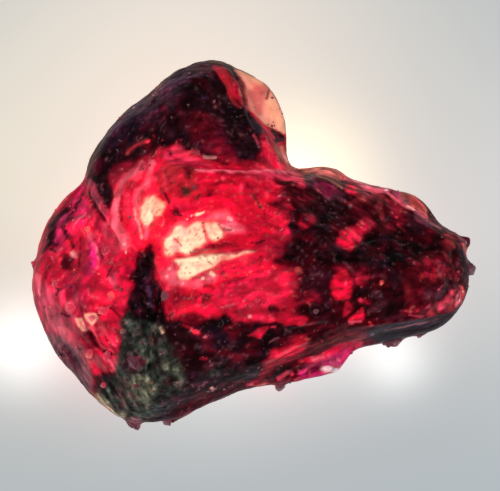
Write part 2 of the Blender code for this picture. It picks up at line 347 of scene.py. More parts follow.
def near(u, v, line, closed=False):
    """Distance from a line, negative inside a closed one, and the share of the way along it."""
    points = rounded(line, closed)
    nearest = np.full(len(u), np.inf)
    run = np.zeros(len(u))
    inside = np.zeros(len(u), bool)
    before = 0.0
    for (u0, v0), (u1, v1) in zip(points[:-1], points[1:]):
        du, dv = u1 - u0, v1 - v0
        length = math.hypot(du, dv) + 1e-9
        share = np.clip(((u - u0) * du + (v - v0) * dv) / length**2, 0.0, 1.0)
        away = np.hypot(u - u0 - share * du, v - v0 - share * dv)
        closer = away < nearest
        nearest = np.where(closer, away, nearest)
        run = np.where(closer, before + share * length, run)
        before += length
        if closed and abs(dv) > 0:
            crossing = ((v0 > v) != (v1 > v)) & (u < (v - v0) * du / dv + u0)
            inside ^= crossing
    return np.where(inside, -nearest, nearest), run / before


# fine relief: a line (u, v, u, v), its depth (a ridge below nothing) and its width, in mm
RELIEF = [
    ([-10.5, 3.2, -9.9, 2.0, -9.0, 0.9, -8.1, -1.0], 0.22, 0.13),
    ([-1.45, 11.0, -0.55, 10.0, -0.25, 8.4, 0.3, 7.2, 0.75, 6.5], 0.14, 0.14),
    ([-3.6, 4.35, -2.0, 4.25, -0.5, 4.2, 1.5, 4.35, 3.4, 3.9], -0.14, 0.20),
    ([-6.95, 4.8, -7.6, 4.3, -8.2, 3.7, -8.6, 2.8, -8.75, 1.2], -0.07, 0.18),
    ([-6.5, 4.2, -6.7, 3.6, -7.1, 3.1, -7.3, 2.4, -7.2, 1.4, -6.9, 0.2], -0.06, 0.16),
    ([-5.9, 3.3, -5.4, 2.5, -4.9, 1.9, -4.4, 1.5], 0.18, 0.14),
    ([-5.4, -0.9, -4.0, -0.95, -2.6, -0.75, -0.6, -0.5, 1.2, -0.6], 0.14, 0.18),
    ([-4.6, -2.6, -3.4, -2.2, -2.0, -1.6, -0.4, -1.1, 0.6, -0.8], 0.12, 0.13),
    ([-2.2, -2.6, -0.8, -2.5, 0.5, -2.1, 1.4, -1.6], 0.14, 0.16),
    ([-3.3, -3.0, -3.2, -3.7, -3.0, -4.5], 0.10, 0.10),
    ([-2.9, 1.1, -2.85, 0.4, -3.0, -0.4], 0.08, 0.10),
    ([-9.9, 0.9, -10.1, -0.2, -9.8, -0.9, -9.5, -1.3], 0.10, 0.09),
    ([-8.7, -1.6, -9.1, -2.2, -9.4, -2.8], 0.08, 0.09),
    ([-10.4, -5.4, -9.9, -6.4, -9.6, -7.0, -8.6, -7.3], 0.20, 0.15),
    ([-9.0, -4.2, -8.2, -4.9], 0.12, 0.09),
    ([6.0, -5.55, 8.2, -5.25, 10.2, -5.05, 12.4, -4.6, 13.3, -4.3], -0.10, 0.14),
    ([9.0, 3.0, 9.5, 2.4, 10.3, 1.9, 11.0, 1.5, 12.2, 0.9], -0.10, 0.12),
    ([5.4, -0.2, 6.0, -0.5, 6.9, -0.1, 8.6, 0.3], 0.12, 0.16),
    ([1.0, -8.4, 2.4, -8.0, 3.0, -7.8, 4.8, -7.2, 6.8, -6.5], 0.16, 0.16),
    ([0.5, -6.7, 1.8, -6.0, 3.4, -5.5, 5.0, -5.3], 0.14, 0.16),
]

# the clear lip low on the near side hangs lower: by how much, where along it and how far, and
# between which distances below the middle that comes in, all in mm
KEEL_DROP = 0.45
KEEL_ALONG = 5.8
KEEL_REACH = 0.9
KEEL_BELOW = (6.7, 7.7)
EVEN_ROUNDS = 10                        # how often the turn to the eye is evened out

shape, normals = read_points(lump_mesh)
u, v, w = shape.T
eyeward = normals @ np.array(TO_EYE)
edge_ends = np.empty(2 * len(lump_mesh.edges), dtype=np.int64)
lump_mesh.edges.foreach_get("vertices", edge_ends)
one, other = edge_ends.reshape(-1, 2).T
for _ in range(EVEN_ROUNDS):
    around = np.bincount(one, eyeward[other], len(u)) + np.bincount(other, eyeward[one], len(u))
    eyeward = 0.5 * (eyeward + around / np.bincount(edge_ends, minlength=len(u)))
top = smooth(eyeward, -0.05, 0.25)

# outlines of the grown-in rock, the ravine above it and the two smooth broken faces
MATRIX = [-8.3, -4.9, -7.5, -4.4, -6.0, -4.6, -5.2, -6.6, -4.4, -7.8, -4.0, -9.6, -5.0, -10.3, -6.0,
    -11.5, -7.8, -11.7, -9.0, -10.9, -9.8, -9.7, -9.4, -8.8, -8.4, -8.7, -8.0, -7.0]
RAVINE = [-7.2, -0.4, -6.9, -0.9, -6.6, -0.2, -6.2, -0.2, -6.3, -1.6, -6.0, -2.6, -5.6, -3.4, -5.4,
    -5.0, -6.4, -5.4, -7.8, -4.9, -7.7, -3.8, -7.3, -3.0, -7.3, -1.6, -7.4, -1.2]
WEDGE = [-1.2, 11.0, -0.4, 10.9, 0.6, 10.4, 1.3, 9.7, 1.9, 8.6, 2.3, 7.4, 2.2, 6.7, 1.6, 7.1, 1.1,
    7.2, 0.5, 7.7, 0.05, 8.2, -0.2, 9.2, -0.35, 10.0, -0.8, 10.6]
CHAMFER = [6.0, -5.7, 8.2, -5.3, 10.2, -5.1, 12.4, -4.7, 13.4, -4.4, 12.9, -5.2, 11.6, -5.9, 9.8,
    -6.4, 8.2, -6.5, 7.6, -6.0, 6.0, -6.1]


def patch(u, v, outline, edge):
    """1 inside a closed outline, 0 outside, with a soft edge of that width."""
    return 1.0 - smooth(near(u, v, outline, True)[0], -edge / 2, edge / 2)


# heights and sizes in mm of the skin's unevenness
BUMPS, BUMP_SIZE = 0.06, 1.5
RIPPLES, RIPPLE_SIZE = 0.03, 0.45
FACETS, FACET_SIZE = 0.10, 1.6
CRUMBS, CRUMB_SIZE = 0.07, 0.5
FURROWS, FURROW_SIZE = 0.04, 0.8
LINE_END = 0.2                          # a line of relief fades over this share of its length
SMOOTHED = 0.85                         # what the smooth broken faces lose of it

grit = top * np.maximum(patch(u, v, MATRIX, 0.8), 0.7 * patch(u, v, RAVINE, 0.4))
polish = top * np.maximum(patch(u, v, WEDGE, 0.5), patch(u, v, CHAMFER, 0.5))
lift = BUMPS * clouds(shape, BUMP_SIZE, 2) + RIPPLES * clouds(shape, RIPPLE_SIZE, 2, 7.0)
lift += FACETS * (np.minimum(cells(shape, FACET_SIZE), 0.35) - 0.2)
lift *= 1.0 - SMOOTHED * polish
furrows = FURROWS * np.abs(clouds(shape, FURROW_SIZE, 2, 9.0))
lift += grit * (CRUMBS * clouds(shape, CRUMB_SIZE, 3, 3.0) - furrows)
for line, depth, width in RELIEF:
    away, along = near(u, v, line)
    ends = smooth(along, 0.0, LINE_END) * smooth(1.0 - along, 0.0, LINE_END)
    lift -= depth * top * ends * np.exp(-((away / width) ** 2))
base = smooth(MIDDLE.z + v * UP.z + w * TO_EYE.z, 0.02, 0.5)
moved = shape + (lift * base)[:, None] * (normals @ AXES.T)
hang = KEEL_DROP * np.exp(-(((u - KEEL_ALONG) / KEEL_REACH) ** 2)) * smooth(-v, *KEEL_BELOW)
moved[:, 1] -= hang * base
places = moved @ AXES + np.array(MIDDLE)
places[:, 2] = np.maximum(places[:, 2], 0.0)
lump_mesh.vertices.foreach_set("co", (places * MM).ravel())
lump_mesh.update()
lump_mesh.shade_smooth()

# The stains of the ruby, with light and shade painted in
# Colour lies in the crystal in clouds, bands and veils: red, and black violet where matrix is grown in.
# Painted light: clear bright red where the light from below comes through, pale yellow hot spots
# where it is caught in fractures, and painted glints; painted shade where the skin turns from the eye.
# colours as a screen shows them; the cream is a painted hot spot, blush and white are painted
# glints, and hot and pink are partly the crystal's red and partly painted glow
COLOURS = {
    "black": (20, 12, 14), "ink": (38, 16, 21), "night": (30, 24, 36), "plum": (60, 24, 36),
    "violet": (78, 45, 68), "dusk": (92, 46, 60), "oxblood": (66, 10, 20), "maroon": (88, 14, 28),
    "berry": (112, 24, 56), "wine": (128, 16, 40), "brick": (150, 40, 50), "crimson": (175, 12, 50),
    "damask": (195, 18, 64), "ruby": (216, 12, 56), "red": (242, 18, 62), "hot": (255, 30, 72),
    "rosered": (232, 58, 92), "rose": (202, 68, 96), "cerise": (220, 35, 95), "magenta": (205, 45, 110),
    "pink": (255, 110, 130), "blush": (255, 180, 175), "cream": (255, 238, 192), "white": (255, 240, 248),
    "apricot": (250, 180, 140), "peach": (250, 165, 140), "salmon": (225, 115, 105), "mauve": (125, 80, 88),
    "lilac": (170, 110, 140), "slate": (50, 46, 54), "moss": (62, 66, 60), "lichen": (112, 109, 92),
    "stone": (165, 150, 125), "hotpink": (255, 45, 140), "dullrose": (186, 80, 94),
    "slatemauve": (122, 84, 92), "tan": (150, 100, 70), "umber": (95, 55, 45), "olive": (90, 70, 40),
}
BACKGROUND = "crimson"

# lines and outlines are written u, v, u, v in mm; every corner is rounded
# whole zones of one colour, laid first and without holes: colour, width of the soft edge, outline
ZONES = [
    ("damask", 1, [-14.4, -1, -13.4, 1.4, -11.6, 3.4, -10.2, 4.4, -8.6, 1, -7.2, -1, -8, -5, -8.6, -8.6,
        -9.8, -10, -12.6, -8.2, -14.4, -4.6]),
    ("ruby", 1.2, [-10.6, -1, -8, -1.2, -7.3, -2.6, -7.7, -4.2, -8.3, -5.2, -8.4, -7, -9.8, -7, -10.6, -5,
        -10.6, -3]),
    ("ruby", 1.4, [-8.6, 1, -8.4, 3.8, -7.2, 4.9, -5, 5.4, -3, 5, 0, 4.4, 3, 4.5, 2.2, 2, 2.2, 0.2,
        2.4, -1.6, 2.4, -3, 1.4, -4.8, -1, -5, -5.4, -5, -6, -2, -6.8, -0.4, -8, -1.2]),
    ("red", 0.9, [-8.8, 1, -8.5, 3.6, -7.4, 4.8, -6.2, 5, -5.9, 2.4, -6.4, 0, -7.4, -1.2, -8.2, -1]),
    ("crimson", 1.6, [-0.2, 4.2, 3.2, 4.4, 3.4, 2, 3, 0.4, 3.2, -1.6, 3, -4.6, 1.2, -4.6, 2, -2.8,
        1.4, -1.6, 1.6, 0.2, 0.8, 2]),
    ("ink", 0.5, [-10.8, 4.8, -10.2, 6.4, -9.2, 7.8, -6.8, 9.8, -4.9, 11.4, -2.9, 12.1, -1.4, 11.8,
        -0.6, 10.8, -0.2, 8.3, 0.6, 7, 0.6, 5.4, -0.6, 4.7, -2.4, 5.2, -4.2, 5.8, -4.9, 6, -5.9, 6.1,
        -6.1, 5.3, -7.2, 5, -8, 4.9, -8.8, 4.4, -8.9, 2.6, -9.4, 1.6, -10.2, 2.8]),
    ("oxblood", 1.2, [2.6, 4.6, 6, 4.6, 10.4, 3.3, 13.9, 0.4, 14.3, -3, 13, -5, 5, -5.9, 2.8, -5, 3, -1.8,
        2.2, -1.6, 2.4, 0.2, 2.2, 2]),
    ("ink", 0.7, [-6, -4.7, -3.2, -5, 1, -5.2, 4.4, -5.2, 2.2, -6.4, 1.2, -7.4, 0.7, -8.6, -1.4, -9.8,
        -3.4, -10.4, -5.6, -11.6, -8, -12.2, -10.4, -9.6, -9.4, -8.8, -8.4, -8.7, -8.2, -6, -7.9, -4,
        -7.2, -0.6, -6.3, -0.4, -6.1, -3]),
    ("maroon", 0.7, [0.6, -9, 1.4, -7.4, 2.2, -6, 4.6, -5.2, 8.4, -5.5, 8, -6.6, 6.2, -8.4, 3, -9.6]),
]

# patches: colour, width of the soft edge, outline; the cream patches are painted hot spots where
# the light from below is caught in fractures, and the blush and white ones are painted glints
PATCHES = [
    # cheek, upper
    ("red", 0.3, [-13.9, -1.4, -13.4, 0.6, -12.6, 2.1, -11.6, 3.1, -10.6, 4.2, -10.4, 4, -11.3, 3,
        -12.3, 2.1, -13.2, 0.6, -13.6, -1]),
    ("damask", 1.2, [-12.9, -0.8, -12.4, 0.9, -11, 2.6, -10.2, 2.6, -9.8, 1, -10, -1.6, -11, -1,
        -12, -1.4]),
    ("cerise", 1, [-11.4, 0.6, -10.4, 1.4, -9.9, 0, -9.9, -2.2, -10.8, -2, -10.9, -0.6]),
    ("plum", 0.2, [-12.3, 1.9, -11.8, 1.7, -11.6, 0.8, -11.8, 0.6, -12.2, 0.9, -12.6, 0.3, -12.8, 0.6,
        -12.5, 1.2]),
    ("berry", 0.2, [-11.2, 2.3, -10.7, 2.8, -10.5, 2.9, -10.7, 2.2, -11, 2.1]),
    ("plum", 0.15, [-11.15, 2.35, -10.8, 2.7, -10.65, 2.6, -10.85, 2.25]),
    ("magenta", 0.12, [-10.2, -0.2, -9.95, -0.5, -9.75, -1, -9.75, -1.8, -10, -2.1, -10.3, -1.6,
        -10.35, -0.8]),
    ("pink", 0.2, [-10.1, -0.6, -9.9, -1, -9.9, -1.7, -10.1, -1.5]),
    ("rose", 0.3, [-10.4, 3.9, -10.2, 3.9, -9.8, 3.3, -9.5, 2.6, -9.2, 2, -9.1, 1.4, -9, 0.9, -9.3, 1.3,
        -9.7, 2, -10.1, 2.8, -10.35, 3.3]),
    ("dusk", 0.7, [-10.4, 3.9, -10.2, 3.9, -9.8, 3.3, -9.5, 2.5, -9.8, 2.3, -10.1, 2.8, -10.35, 3.3]),
    ("berry", 0.7, [-9.4, 0.8, -9, 0.5, -8.6, 0, -8.3, -0.6, -8.6, -0.8, -9.1, -0.2, -9.4, 0.3]),
    ("maroon", 0.56, [-12, -1.1, -11.5, -1, -11.2, -1.3, -11.1, -1.9, -11.5, -2.1, -12, -1.9]),
    ("red", 0.8, [-9.6, -0.8, -8.4, -1.2, -8, -2.6, -9.2, -3.2, -9.8, -2.4]),
    ("hot", 0.9, [-9.4, -2.4, -8.2, -2.8, -7.8, -3.6, -8.4, -4.4, -9.4, -4.2, -10, -3.2]),
    ("rosered", 0.9, [-13.4, -2.6, -12, -2.6, -10.8, -3.2, -10.6, -4.4, -11.6, -5.2, -12.8, -5, -13.6, -4]),
    ("wine", 0.8, [-13.2, -1.2, -12.4, -1.6, -12, -2.4, -12.6, -2.7, -13.2, -2.2]),
    # cheek, lower
    ("rose", 1, [-14, -2.6, -13, -3, -12, -4, -11, -5.8, -10.6, -6.8, -11.6, -6.6, -12.9, -5.8, -14, -4.4]),
    ("crimson", 0.7, [-12.2, -3.4, -11.5, -3.2, -11.3, -3.7, -11.9, -3.9]),
    ("red", 0.7, [-9.8, -4.2, -8.7, -4.2, -8.6, -5.1, -9.6, -5.1]),
    ("hot", 0.4, [-9.7, -6, -9.3, -5.6, -8.8, -5.9, -8.3, -6, -8.2, -6.6, -9, -6.8, -9.6, -6.5]),
    ("wine", 0.7, [-10.9, -5.9, -10.2, -5.6, -9.9, -6.6, -10.5, -7.2, -11, -6.8]),
    ("crimson", 0.7, [-9.9, -7.4, -9.2, -7.5, -8.7, -8, -9.2, -8.4, -9.8, -8.2]),
    ("ink", 0.7, [-8.9, -8, -8.4, -8.2, -8.6, -8.9, -9.3, -9.2, -9.9, -8.8, -9.5, -8.4]),
    ("dusk", 0.7, [-14, -4.8, -12.9, -6, -11.9, -6.3, -11, -6.8, -10.5, -7.4, -10.1, -8.2, -9.8, -9.4,
        -10.2, -10.2, -11.4, -9.4, -12.6, -8.2, -13.6, -6.6]),
    # crest
    ("plum", 0.9, [-10.6, 4.6, -10, 6.2, -9, 7.6, -7.7, 8.8, -6.8, 9.6, -5.9, 10.5, -4.9, 11.2, -3.9, 11.6,
        -2.9, 11.9, -1.6, 11.6, -2.2, 10.2, -3.6, 9.8, -5, 8.6, -6, 7.4, -7.6, 6.4, -9, 5.2]),
    ("night", 0.84, [-9.8, 5.8, -9.4, 6.7, -8.4, 8, -7.2, 9, -7.2, 8, -8.2, 7, -8.8, 6]),
    ("berry", 0.84, [-10.2, 4.6, -9.6, 5.4, -9.2, 5, -9.6, 4.5]),
    ("black", 0.98, [-10.2, 4.2, -9.4, 4.3, -9, 5.2, -8, 5.8, -8.6, 6, -9.6, 5.8, -9.2, 3.4, -9.6, 3.6]),
    ("maroon", 0.84, [-7.8, 7.2, -7.3, 7.6, -6.8, 7.3, -7.1, 6.8, -7.6, 6.8]),
    ("violet", 0.42, [-7.7, 8.3, -7.4, 8.6, -7.1, 8.5, -7.2, 8.1, -7.5, 8]),
    ("night", 0.8, [-5.6, 9.4, -4.6, 9.6, -3.6, 10.4, -3.8, 11.2, -4.8, 10.8, -5.6, 10.1]),
    ("black", 0.8, [-4.6, 9.6, -3.2, 9.2, -2.6, 10.2, -3.4, 11, -4.2, 10.6]),
    ("maroon", 0.7, [-7.4, 5.2, -6.4, 5.3, -6, 5.8, -6.2, 6.3, -7, 6.1]),
    ("berry", 0.84, [-3.6, 8.2, -2.4, 8.1, -1.6, 7.2, -1.4, 6.2, -0.9, 5.4, -2, 5.4, -3.3, 5.8, -3.2, 6.8]),
    ("wine", 0.84, [-3.2, 6.3, -2.2, 6.6, -1.5, 6, -1, 5.4, -1.6, 5.2, -3.1, 5.7]),
    ("crimson", 0.7, [-2.2, 5.8, -1.5, 5.6, -1, 5.1, -0.2, 4.9, -0.6, 4.6, -1.6, 4.8, -2, 5.2]),
    ("ink", 0.7, [-1.2, 7.6, 0.2, 7.1, 0.55, 6.2, 0.5, 5.2, 0.1, 4.9, -0.9, 5.4, -1.2, 6.2]),
    ("black", 0.7, [-1.6, 8.6, -0.9, 8.3, -0.3, 8, 0.1, 7.2, -1, 7.6, -1.6, 8]),
    ("wine", 0.56, [0.4, 5.3, 1, 5.3, 1.2, 4.8, 0.5, 4.8]),
    ("umber", 0.15, [-2.9, 11.3, -2.4, 11.65, -1.8, 11.5, -1.5, 11.3]),
    ("brick", 0.15, [-2.6, 11.2, -1.8, 11.2, -1.5, 10.9, -1.3, 10.4, -0.7, 10.2, -0.5, 9.7, -0.4, 9,
        -0.5, 8.5, -0.7, 8.35, -1.2, 8.7, -1.5, 9.2, -1.6, 9.8, -2, 10.4]),
    ("crimson", 0.42, [-1.5, 10.2, -0.9, 10.1, -0.6, 9.6, -0.5, 8.9, -0.9, 8.9, -1.2, 9.4]),
    ("maroon", 0.56, [-1.2, 9, -0.7, 9, -0.6, 8.5, -0.9, 8.6]),
    # clear wedge
    ("peach", 0.15, [-1.2, 11, -0.4, 10.9, 0.6, 10.4, 1.3, 9.7, 1.9, 8.6, 2.3, 7.4, 2.2, 6.7, 1.6, 7.1,
        1.1, 7.2, 0.5, 7.7, 0.05, 8.2, -0.2, 9.2, -0.35, 10, -0.8, 10.6]),
    ("salmon", 0.7, [-0.3, 10.2, 0.9, 10, 1, 9, 0.8, 8.2, 0.2, 8.1, -0.1, 9]),
    ("apricot", 0.5, [1.2, 9.4, 1.9, 8.6, 2.2, 7.6, 2, 6.9, 1.6, 7.2, 1, 7.4, 1, 8.4]),
    ("apricot", 0.4, [-1, 11, -0.2, 10.8, 0.8, 10.2, 0.6, 9.9, -0.3, 10.4]),
    ("ink", 0.12, [1.2, 7.2, 1.8, 7, 2.1, 6.7, 2.2, 6.3, 1.9, 6.3, 1.5, 6.15, 1.3, 6.6]),
    ("dusk", 0.12, [1.6, 6.65, 2, 6.55, 2.1, 6.35, 1.8, 6.4]),
    ("salmon", 0.2, [1.7, 6, 2.1, 6.1, 2.3, 5.6, 2.7, 4.9, 3.1, 4.5, 2.5, 4.5, 2, 5.1]),
    ("blush", 0.3, [1.9, 5.8, 2.15, 5.6, 2.6, 4.8, 2.35, 4.8]),
    ("red", 0.12, [0.7, 6, 0.8, 6.4, 1.1, 6.3, 1.5, 5.6, 1.9, 5, 2.3, 4.6, 1.7, 4.5, 1.2, 5, 0.9, 5.5]),
    # folds and knob; the pink along the folds is partly pink veil in the crystal and partly painted
    # highlight on the fold ridges
    ("wine", 0.84, [-9, 3.4, -8.7, 4.6, -7.6, 5, -6.9, 5.2, -6.2, 5.2, -6.6, 4.5, -7.4, 4.5, -8, 3.9,
        -8.4, 2.6]),
    ("crimson", 0.56, [-8.7, 3.4, -8.5, 4.4, -7.8, 4.7, -7.3, 4.5, -8, 3.9, -8.4, 2.8]),
    ("pink", 0.3, [-8.9, 0.9, -8.6, 2.2, -8.4, 2.2, -8.4, 1.2, -8.2, 1, -8, 0.4, -8.4, -0.4, -8.7, 0.4]),
    ("pink", 0.3, [-8.9, 0.8, -8.5, 1, -8.2, 0.8, -8, 0.4, -7.9, -0.2, -8, -0.9, -8.2, -0.6, -8.5, 0.1]),
    ("crimson", 0.7, [-7.6, 3.9, -7.1, 3.9, -7.1, 2.8, -7.4, 2.4, -7.8, 3]),
    ("hot", 0.5, [-7.9, 2.4, -7.3, 2.2, -6.9, 1.2, -6.8, 0.2, -7.3, -0.4, -7.7, 0.8]),
    ("rosered", 0.5, [-5.6, 5.2, -5.2, 5.9, -4.4, 5.8, -3.6, 5.3, -3, 4.9, -2.2, 4.8, -3.4, 4.6, -4.4, 5,
        -5, 4.7]),
    ("brick", 0.7, [-5.9, 4.3, -5.2, 5, -4.3, 4.9, -3.5, 4.5, -3.4, 3.8, -3.3, 3.2, -4, 2.7, -4.9, 2.9,
        -5.3, 3.4]),
    ("maroon", 0.56, [-4.3, 4.6, -3.9, 4.5, -3.7, 3.9, -4.1, 3.6, -4.2, 4]),
    ("umber", 0.35, [-4.7, 3.3, -4.1, 3.4, -3.8, 2.9, -4.3, 2.8]),
    ("hot", 0.3, [-5, 2.6, -4.6, 2.8, -4, 2.6, -3.8, 2.2, -4.4, 1.9, -4.9, 2.2]),
    ("crimson", 1.2, [-3.4, 4.2, -1.8, 4.1, -0.2, 4, 0.4, 3, 2, 2.4, 1.6, 1.4, 0.6, 1.2, -1, 2.4,
        -2.4, 2.6, -3.2, 3]),
    ("damask", 0.9, [-0.4, 4, 1.4, 4.1, 1.6, 3, 0.4, 2.4, -0.4, 2.8]),
    ("wine", 0.8, [0.6, 3.2, 1.8, 3.4, 2.4, 2, 1.6, 1.6, 0.8, 2]),
    ("salmon", 0.5, [-7.03, 2.3, -6.81, 2.65, -6.27, 3.01, -5.98, 2.9, -5.87, 2.3, -6.06, 2.08,
        -6.23, 2.05, -6.05, 1.69, -6.01, 1.17, -6.39, 0.84, -6.62, 0.64, -6.92, 0.96, -7.09, 1.53,
        -7.01, 1.99]),
    ("cream", 0.26, [-6.9, 2.2, -6.75, 2.5, -6.3, 2.85, -6.05, 2.75, -6, 2.2, -6.2, 2, -6.35, 1.95,
        -6.2, 1.75, -6.1, 1.3, -6.4, 1, -6.6, 0.8, -6.85, 1.1, -6.95, 1.6, -6.85, 1.95]),
    ("apricot", 0.3, [-6.3, 2.7, -5.9, 2.6, -5.3, 2.3, -5.5, 1.9, -5.8, 1.5, -6.1, 1.5, -6.2, 2]),
    # windows in the middle
    ("hot", 0.8, [-5.9, -2.6, -5.7, 0.4, -5.2, 0.9, -4.6, 1.3, -3.6, 1.6, -2.2, 1.9, -1.2, 1.6, 0, 1,
        0.8, 0.4, 0.7, 0.2, -0.6, 0.3, -1.6, 0, -2.6, -0.2, -3.2, -0.6, -4, -1, 0.2, -0.7, 1, -1.2,
        0.5, -1.9, -1, -2.2, -2, -2.4, -3, -3, -4.6, -3.2, -5.6, -2.9]),
    ("pink", 0.5, [-3, 1.2, -2.2, 1.9, -1.4, 1.7, -1, 1.2, -0.4, 0.9, -0.2, 0.5, -1, 0.4, -1.6, 0.2, -2, 1,
        -2.8, 1.2]),
    ("pink", 0.4, [-5.3, 0.5, -4.6, 1.1, -4, 1.3, -3.8, 0.9, -4.4, 0.8, -4.9, 0.4, -5.2, 0]),
    ("pink", 0.5, [-5.6, -2.2, -5, -1.4, -4.8, -2.2, -4, -2.6, -3.2, -2.2, -2.4, -1.8, -2.2, -2.1,
        -2.5, -2.7, -3.4, -2.9, -4.6, -3, -5.3, -2.8]),
    ("salmon", 0.5, [-5.63, -0.99, -5.66, -0.12, -5.26, 0.22, -5.09, 0.68, -4.57, 1.09, -4.11, 0.91,
        -3.87, 1.01, -3.53, 1.25, -3.1, 1.33, -2.83, 1.1, -2.8, 0.55, -2.59, 0.21, -2.75, -0.35,
        -3.17, -0.49, -3.64, -0.9, -4.05, -1.11, -4.58, -0.79, -4.91, -0.76, -5.11, -1.02]),
    ("cream", 0.26, [-5.5, -0.9, -5.5, -0.1, -5.1, 0.2, -4.95, 0.6, -4.5, 0.95, -4.1, 0.75, -3.9, 0.85,
        -3.6, 1.1, -3.2, 1.2, -2.95, 1, -2.95, 0.5, -2.75, 0.2, -2.9, -0.3, -3.3, -0.4, -3.7, -0.75,
        -4.05, -0.95, -4.5, -0.65, -4.8, -0.65, -5, -0.9]),
    ("blush", 0.3, [-4.45, 0.75, -4, 0.75, -3.95, 0.4, -4.4, 0.35]),
    ("blush", 0.3, [-5, -0.3, -4.5, -0.35, -4.5, -0.65, -5, -0.7]),
    ("salmon", 0.5, [-3, 0.81, -3.01, 1.21, -2.42, 1.21, -1.98, 1.19, -1.75, 0.76, -1.6, 0.24,
        -1.69, -0.17, -2.17, -0.31, -2.69, -0.03, -2.9, 0.36]),
    ("cream", 0.22, [-2.85, 0.75, -2.9, 1.1, -2.4, 1.05, -2.05, 1.05, -1.9, 0.7, -1.75, 0.3, -1.8, -0.05,
        -2.2, -0.15, -2.6, 0.1, -2.75, 0.4]),
    ("crimson", 0.56, [-4.9, -0.95, -4.2, -1, -3.4, -0.6, -2.6, -0.3, -1.7, 0.1, -0.4, 0.3, 0.6, 0.2,
        0.9, 0, 1.4, -0.2, 1.2, -0.6, 0, -0.7, -1.4, -0.9, -3, -0.85, -4.2, -1.05]),
    ("salmon", 0.5, [-5.11, -1.19, -4.66, -1.13, -3.75, -0.99, -3.09, -0.82, -2.56, -0.79, -1.76, -0.93,
        -1.34, -1.06, -0.84, -0.96, -0.34, -0.81, 0.36, -0.72, 0.26, -0.82, -0.64, -1.08, -1.34, -1.29,
        -1.94, -1.4, -2.55, -1.9, -3.31, -2.07, -3.82, -2.3, -4.12, -2.6, -4.74, -2.58, -4.85, -2.15,
        -4.56, -1.73, -4.86, -1.4]),
    ("cream", 0.26, [-4.95, -1.2, -4.5, -1.15, -3.6, -1.05, -3, -0.95, -2.6, -0.95, -1.9, -1, -1.5, -1.1,
        -1, -1, -0.5, -0.85, 0.2, -0.75, 0.1, -0.85, -0.8, -1.1, -1.5, -1.3, -2.1, -1.4, -2.6, -1.75,
        -3.2, -1.95, -3.7, -2.2, -4, -2.5, -4.6, -2.5, -4.7, -2.1, -4.4, -1.7, -4.7, -1.4]),
    ("hot", 0.6, [-1.4, -2.7, -0.6, -2.5, 0.4, -2.3, 1.4, -1.9, 2.4, -1.9, 2.2, -2.6, 1, -3.2, -0.2, -3.5,
        -1.2, -3.4]),
    ("crimson", 1, [-1, 2.6, 0.2, 1.8, 1, 0.4, 2, 0.2, 2, -0.9, 1, -1, 0.8, -0.4, 0, 0.2, -0.6, 0.8,
        -1, 1.6]),
    ("wine", 0.84, [-5.2, -3.2, -4.4, -3.2, -3.4, -3.3, -2.6, -3.6, -3.2, -4, -4.2, -4, -5, -4.2]),
    ("red", 0.7, [-4.6, -4.2, -3.4, -4.1, -1.4, -4.2, -0.8, -4.9, -2, -4.8, -3.4, -4.9, -4.4, -4.8]),
    ("wine", 0.8, [0.6, -3.4, 1.4, -3, 2.2, -3.2, 2.6, -4.4, 1.6, -4.9, 0.4, -4.6, -0.4, -4.3]),
    ("hot", 0.4, [-1, -5.05, -0.5, -5.05, 0, -4.95, 0.5, -5.05, 1.2, -5.3, 1.6, -5, 1.2, -4.7, 0.3, -4.7,
        -0.4, -4.5]),
    # right of the windows
    ("rosered", 0.3, [0, 4.5, 1, 4.6, 2.6, 4.4, 3.3, 4.1, 3.6, 3.6, 3.4, 3.2, 2.8, 3.5, 2.2, 3.9, 1.2, 3.9,
        0, 3.8, -0.5, 3.9]),
    ("hot", 0.3, [2.9, 4.1, 3.4, 4, 3.5, 3.7, 3, 3.7]),
    ("crimson", 0.7, [0, 3.7, 1.4, 3.8, 1.2, 3.1, 0.4, 3, -0.2, 3.4]),
    ("maroon", 0.7, [1.5, 3.9, 2.4, 3.9, 3.2, 3.2, 3.7, 2.6, 3.6, 1.8, 2.9, 1.9, 2.4, 2.2, 2, 2.9,
        1.4, 3.1, 1, 2.6, 0.7, 2.4, 0.9, 3.1]),
    ("wine", 0.56, [3, 2.8, 3.5, 2.7, 3.4, 2.2, 3, 2.2]),
    ("ruby", 0.3, [0.2, 0.9, 0.4, 1.6, 1, 2, 1.6, 1.7, 2.1, 1.6, 2.2, 0.9, 2.4, 0.5, 1.8, 0.35, 1, 0.4,
        0.6, 0.6]),
    ("ink", 0.9, [3.6, 2.6, 4.4, 2.9, 5.9, 2.9, 6, 2.2, 5.2, 1.4, 4.7, 0.6, 5.1, -0.2, 4.4, 0.3, 3.6, 0.3,
        2.9, 0.2, 3, 0.8, 4.2, 1, 4.2, 1.7, 3.4, 1.9]),
    ("black", 0.98, [4.7, 2.2, 5.3, 2.4, 5.8, 1.9, 5.2, 1.4, 4.7, 0.9, 4.2, 0.9, 4.4, 1.5]),
    ("wine", 0.25, [3.1, 0.8, 3.1, 1.4, 3.4, 1.7, 4, 1.6, 4.1, 1.2, 3.7, 0.8, 3.3, 0.65]),
    ("dusk", 0.56, [3.5, 4.1, 4, 4.2, 5.6, 3.7, 6, 3.1, 6, 2.5, 5.4, 2.6, 4.4, 2.9, 3.7, 3.3]),
    ("berry", 0.42, [4.2, 3.6, 5, 3.8, 5.8, 3.5, 5.7, 3.1, 4.8, 2.8, 4.2, 3.1]),
    ("black", 0.84, [1.2, -1.4, 1.3, -0.9, 2, -0.7, 2.3, -0.3, 3, 0.1, 4.4, 0, 5.2, -0.2, 6.4, -0.8,
        6.4, -1.5, 5.4, -1.7, 4, -1.6, 2.6, -1.3, 1.6, -1.5]),
    ("wine", 0.42, [0.9, -0.3, 1.6, -0.2, 2.3, -0.2, 2, -0.6, 1.2, -0.6]),
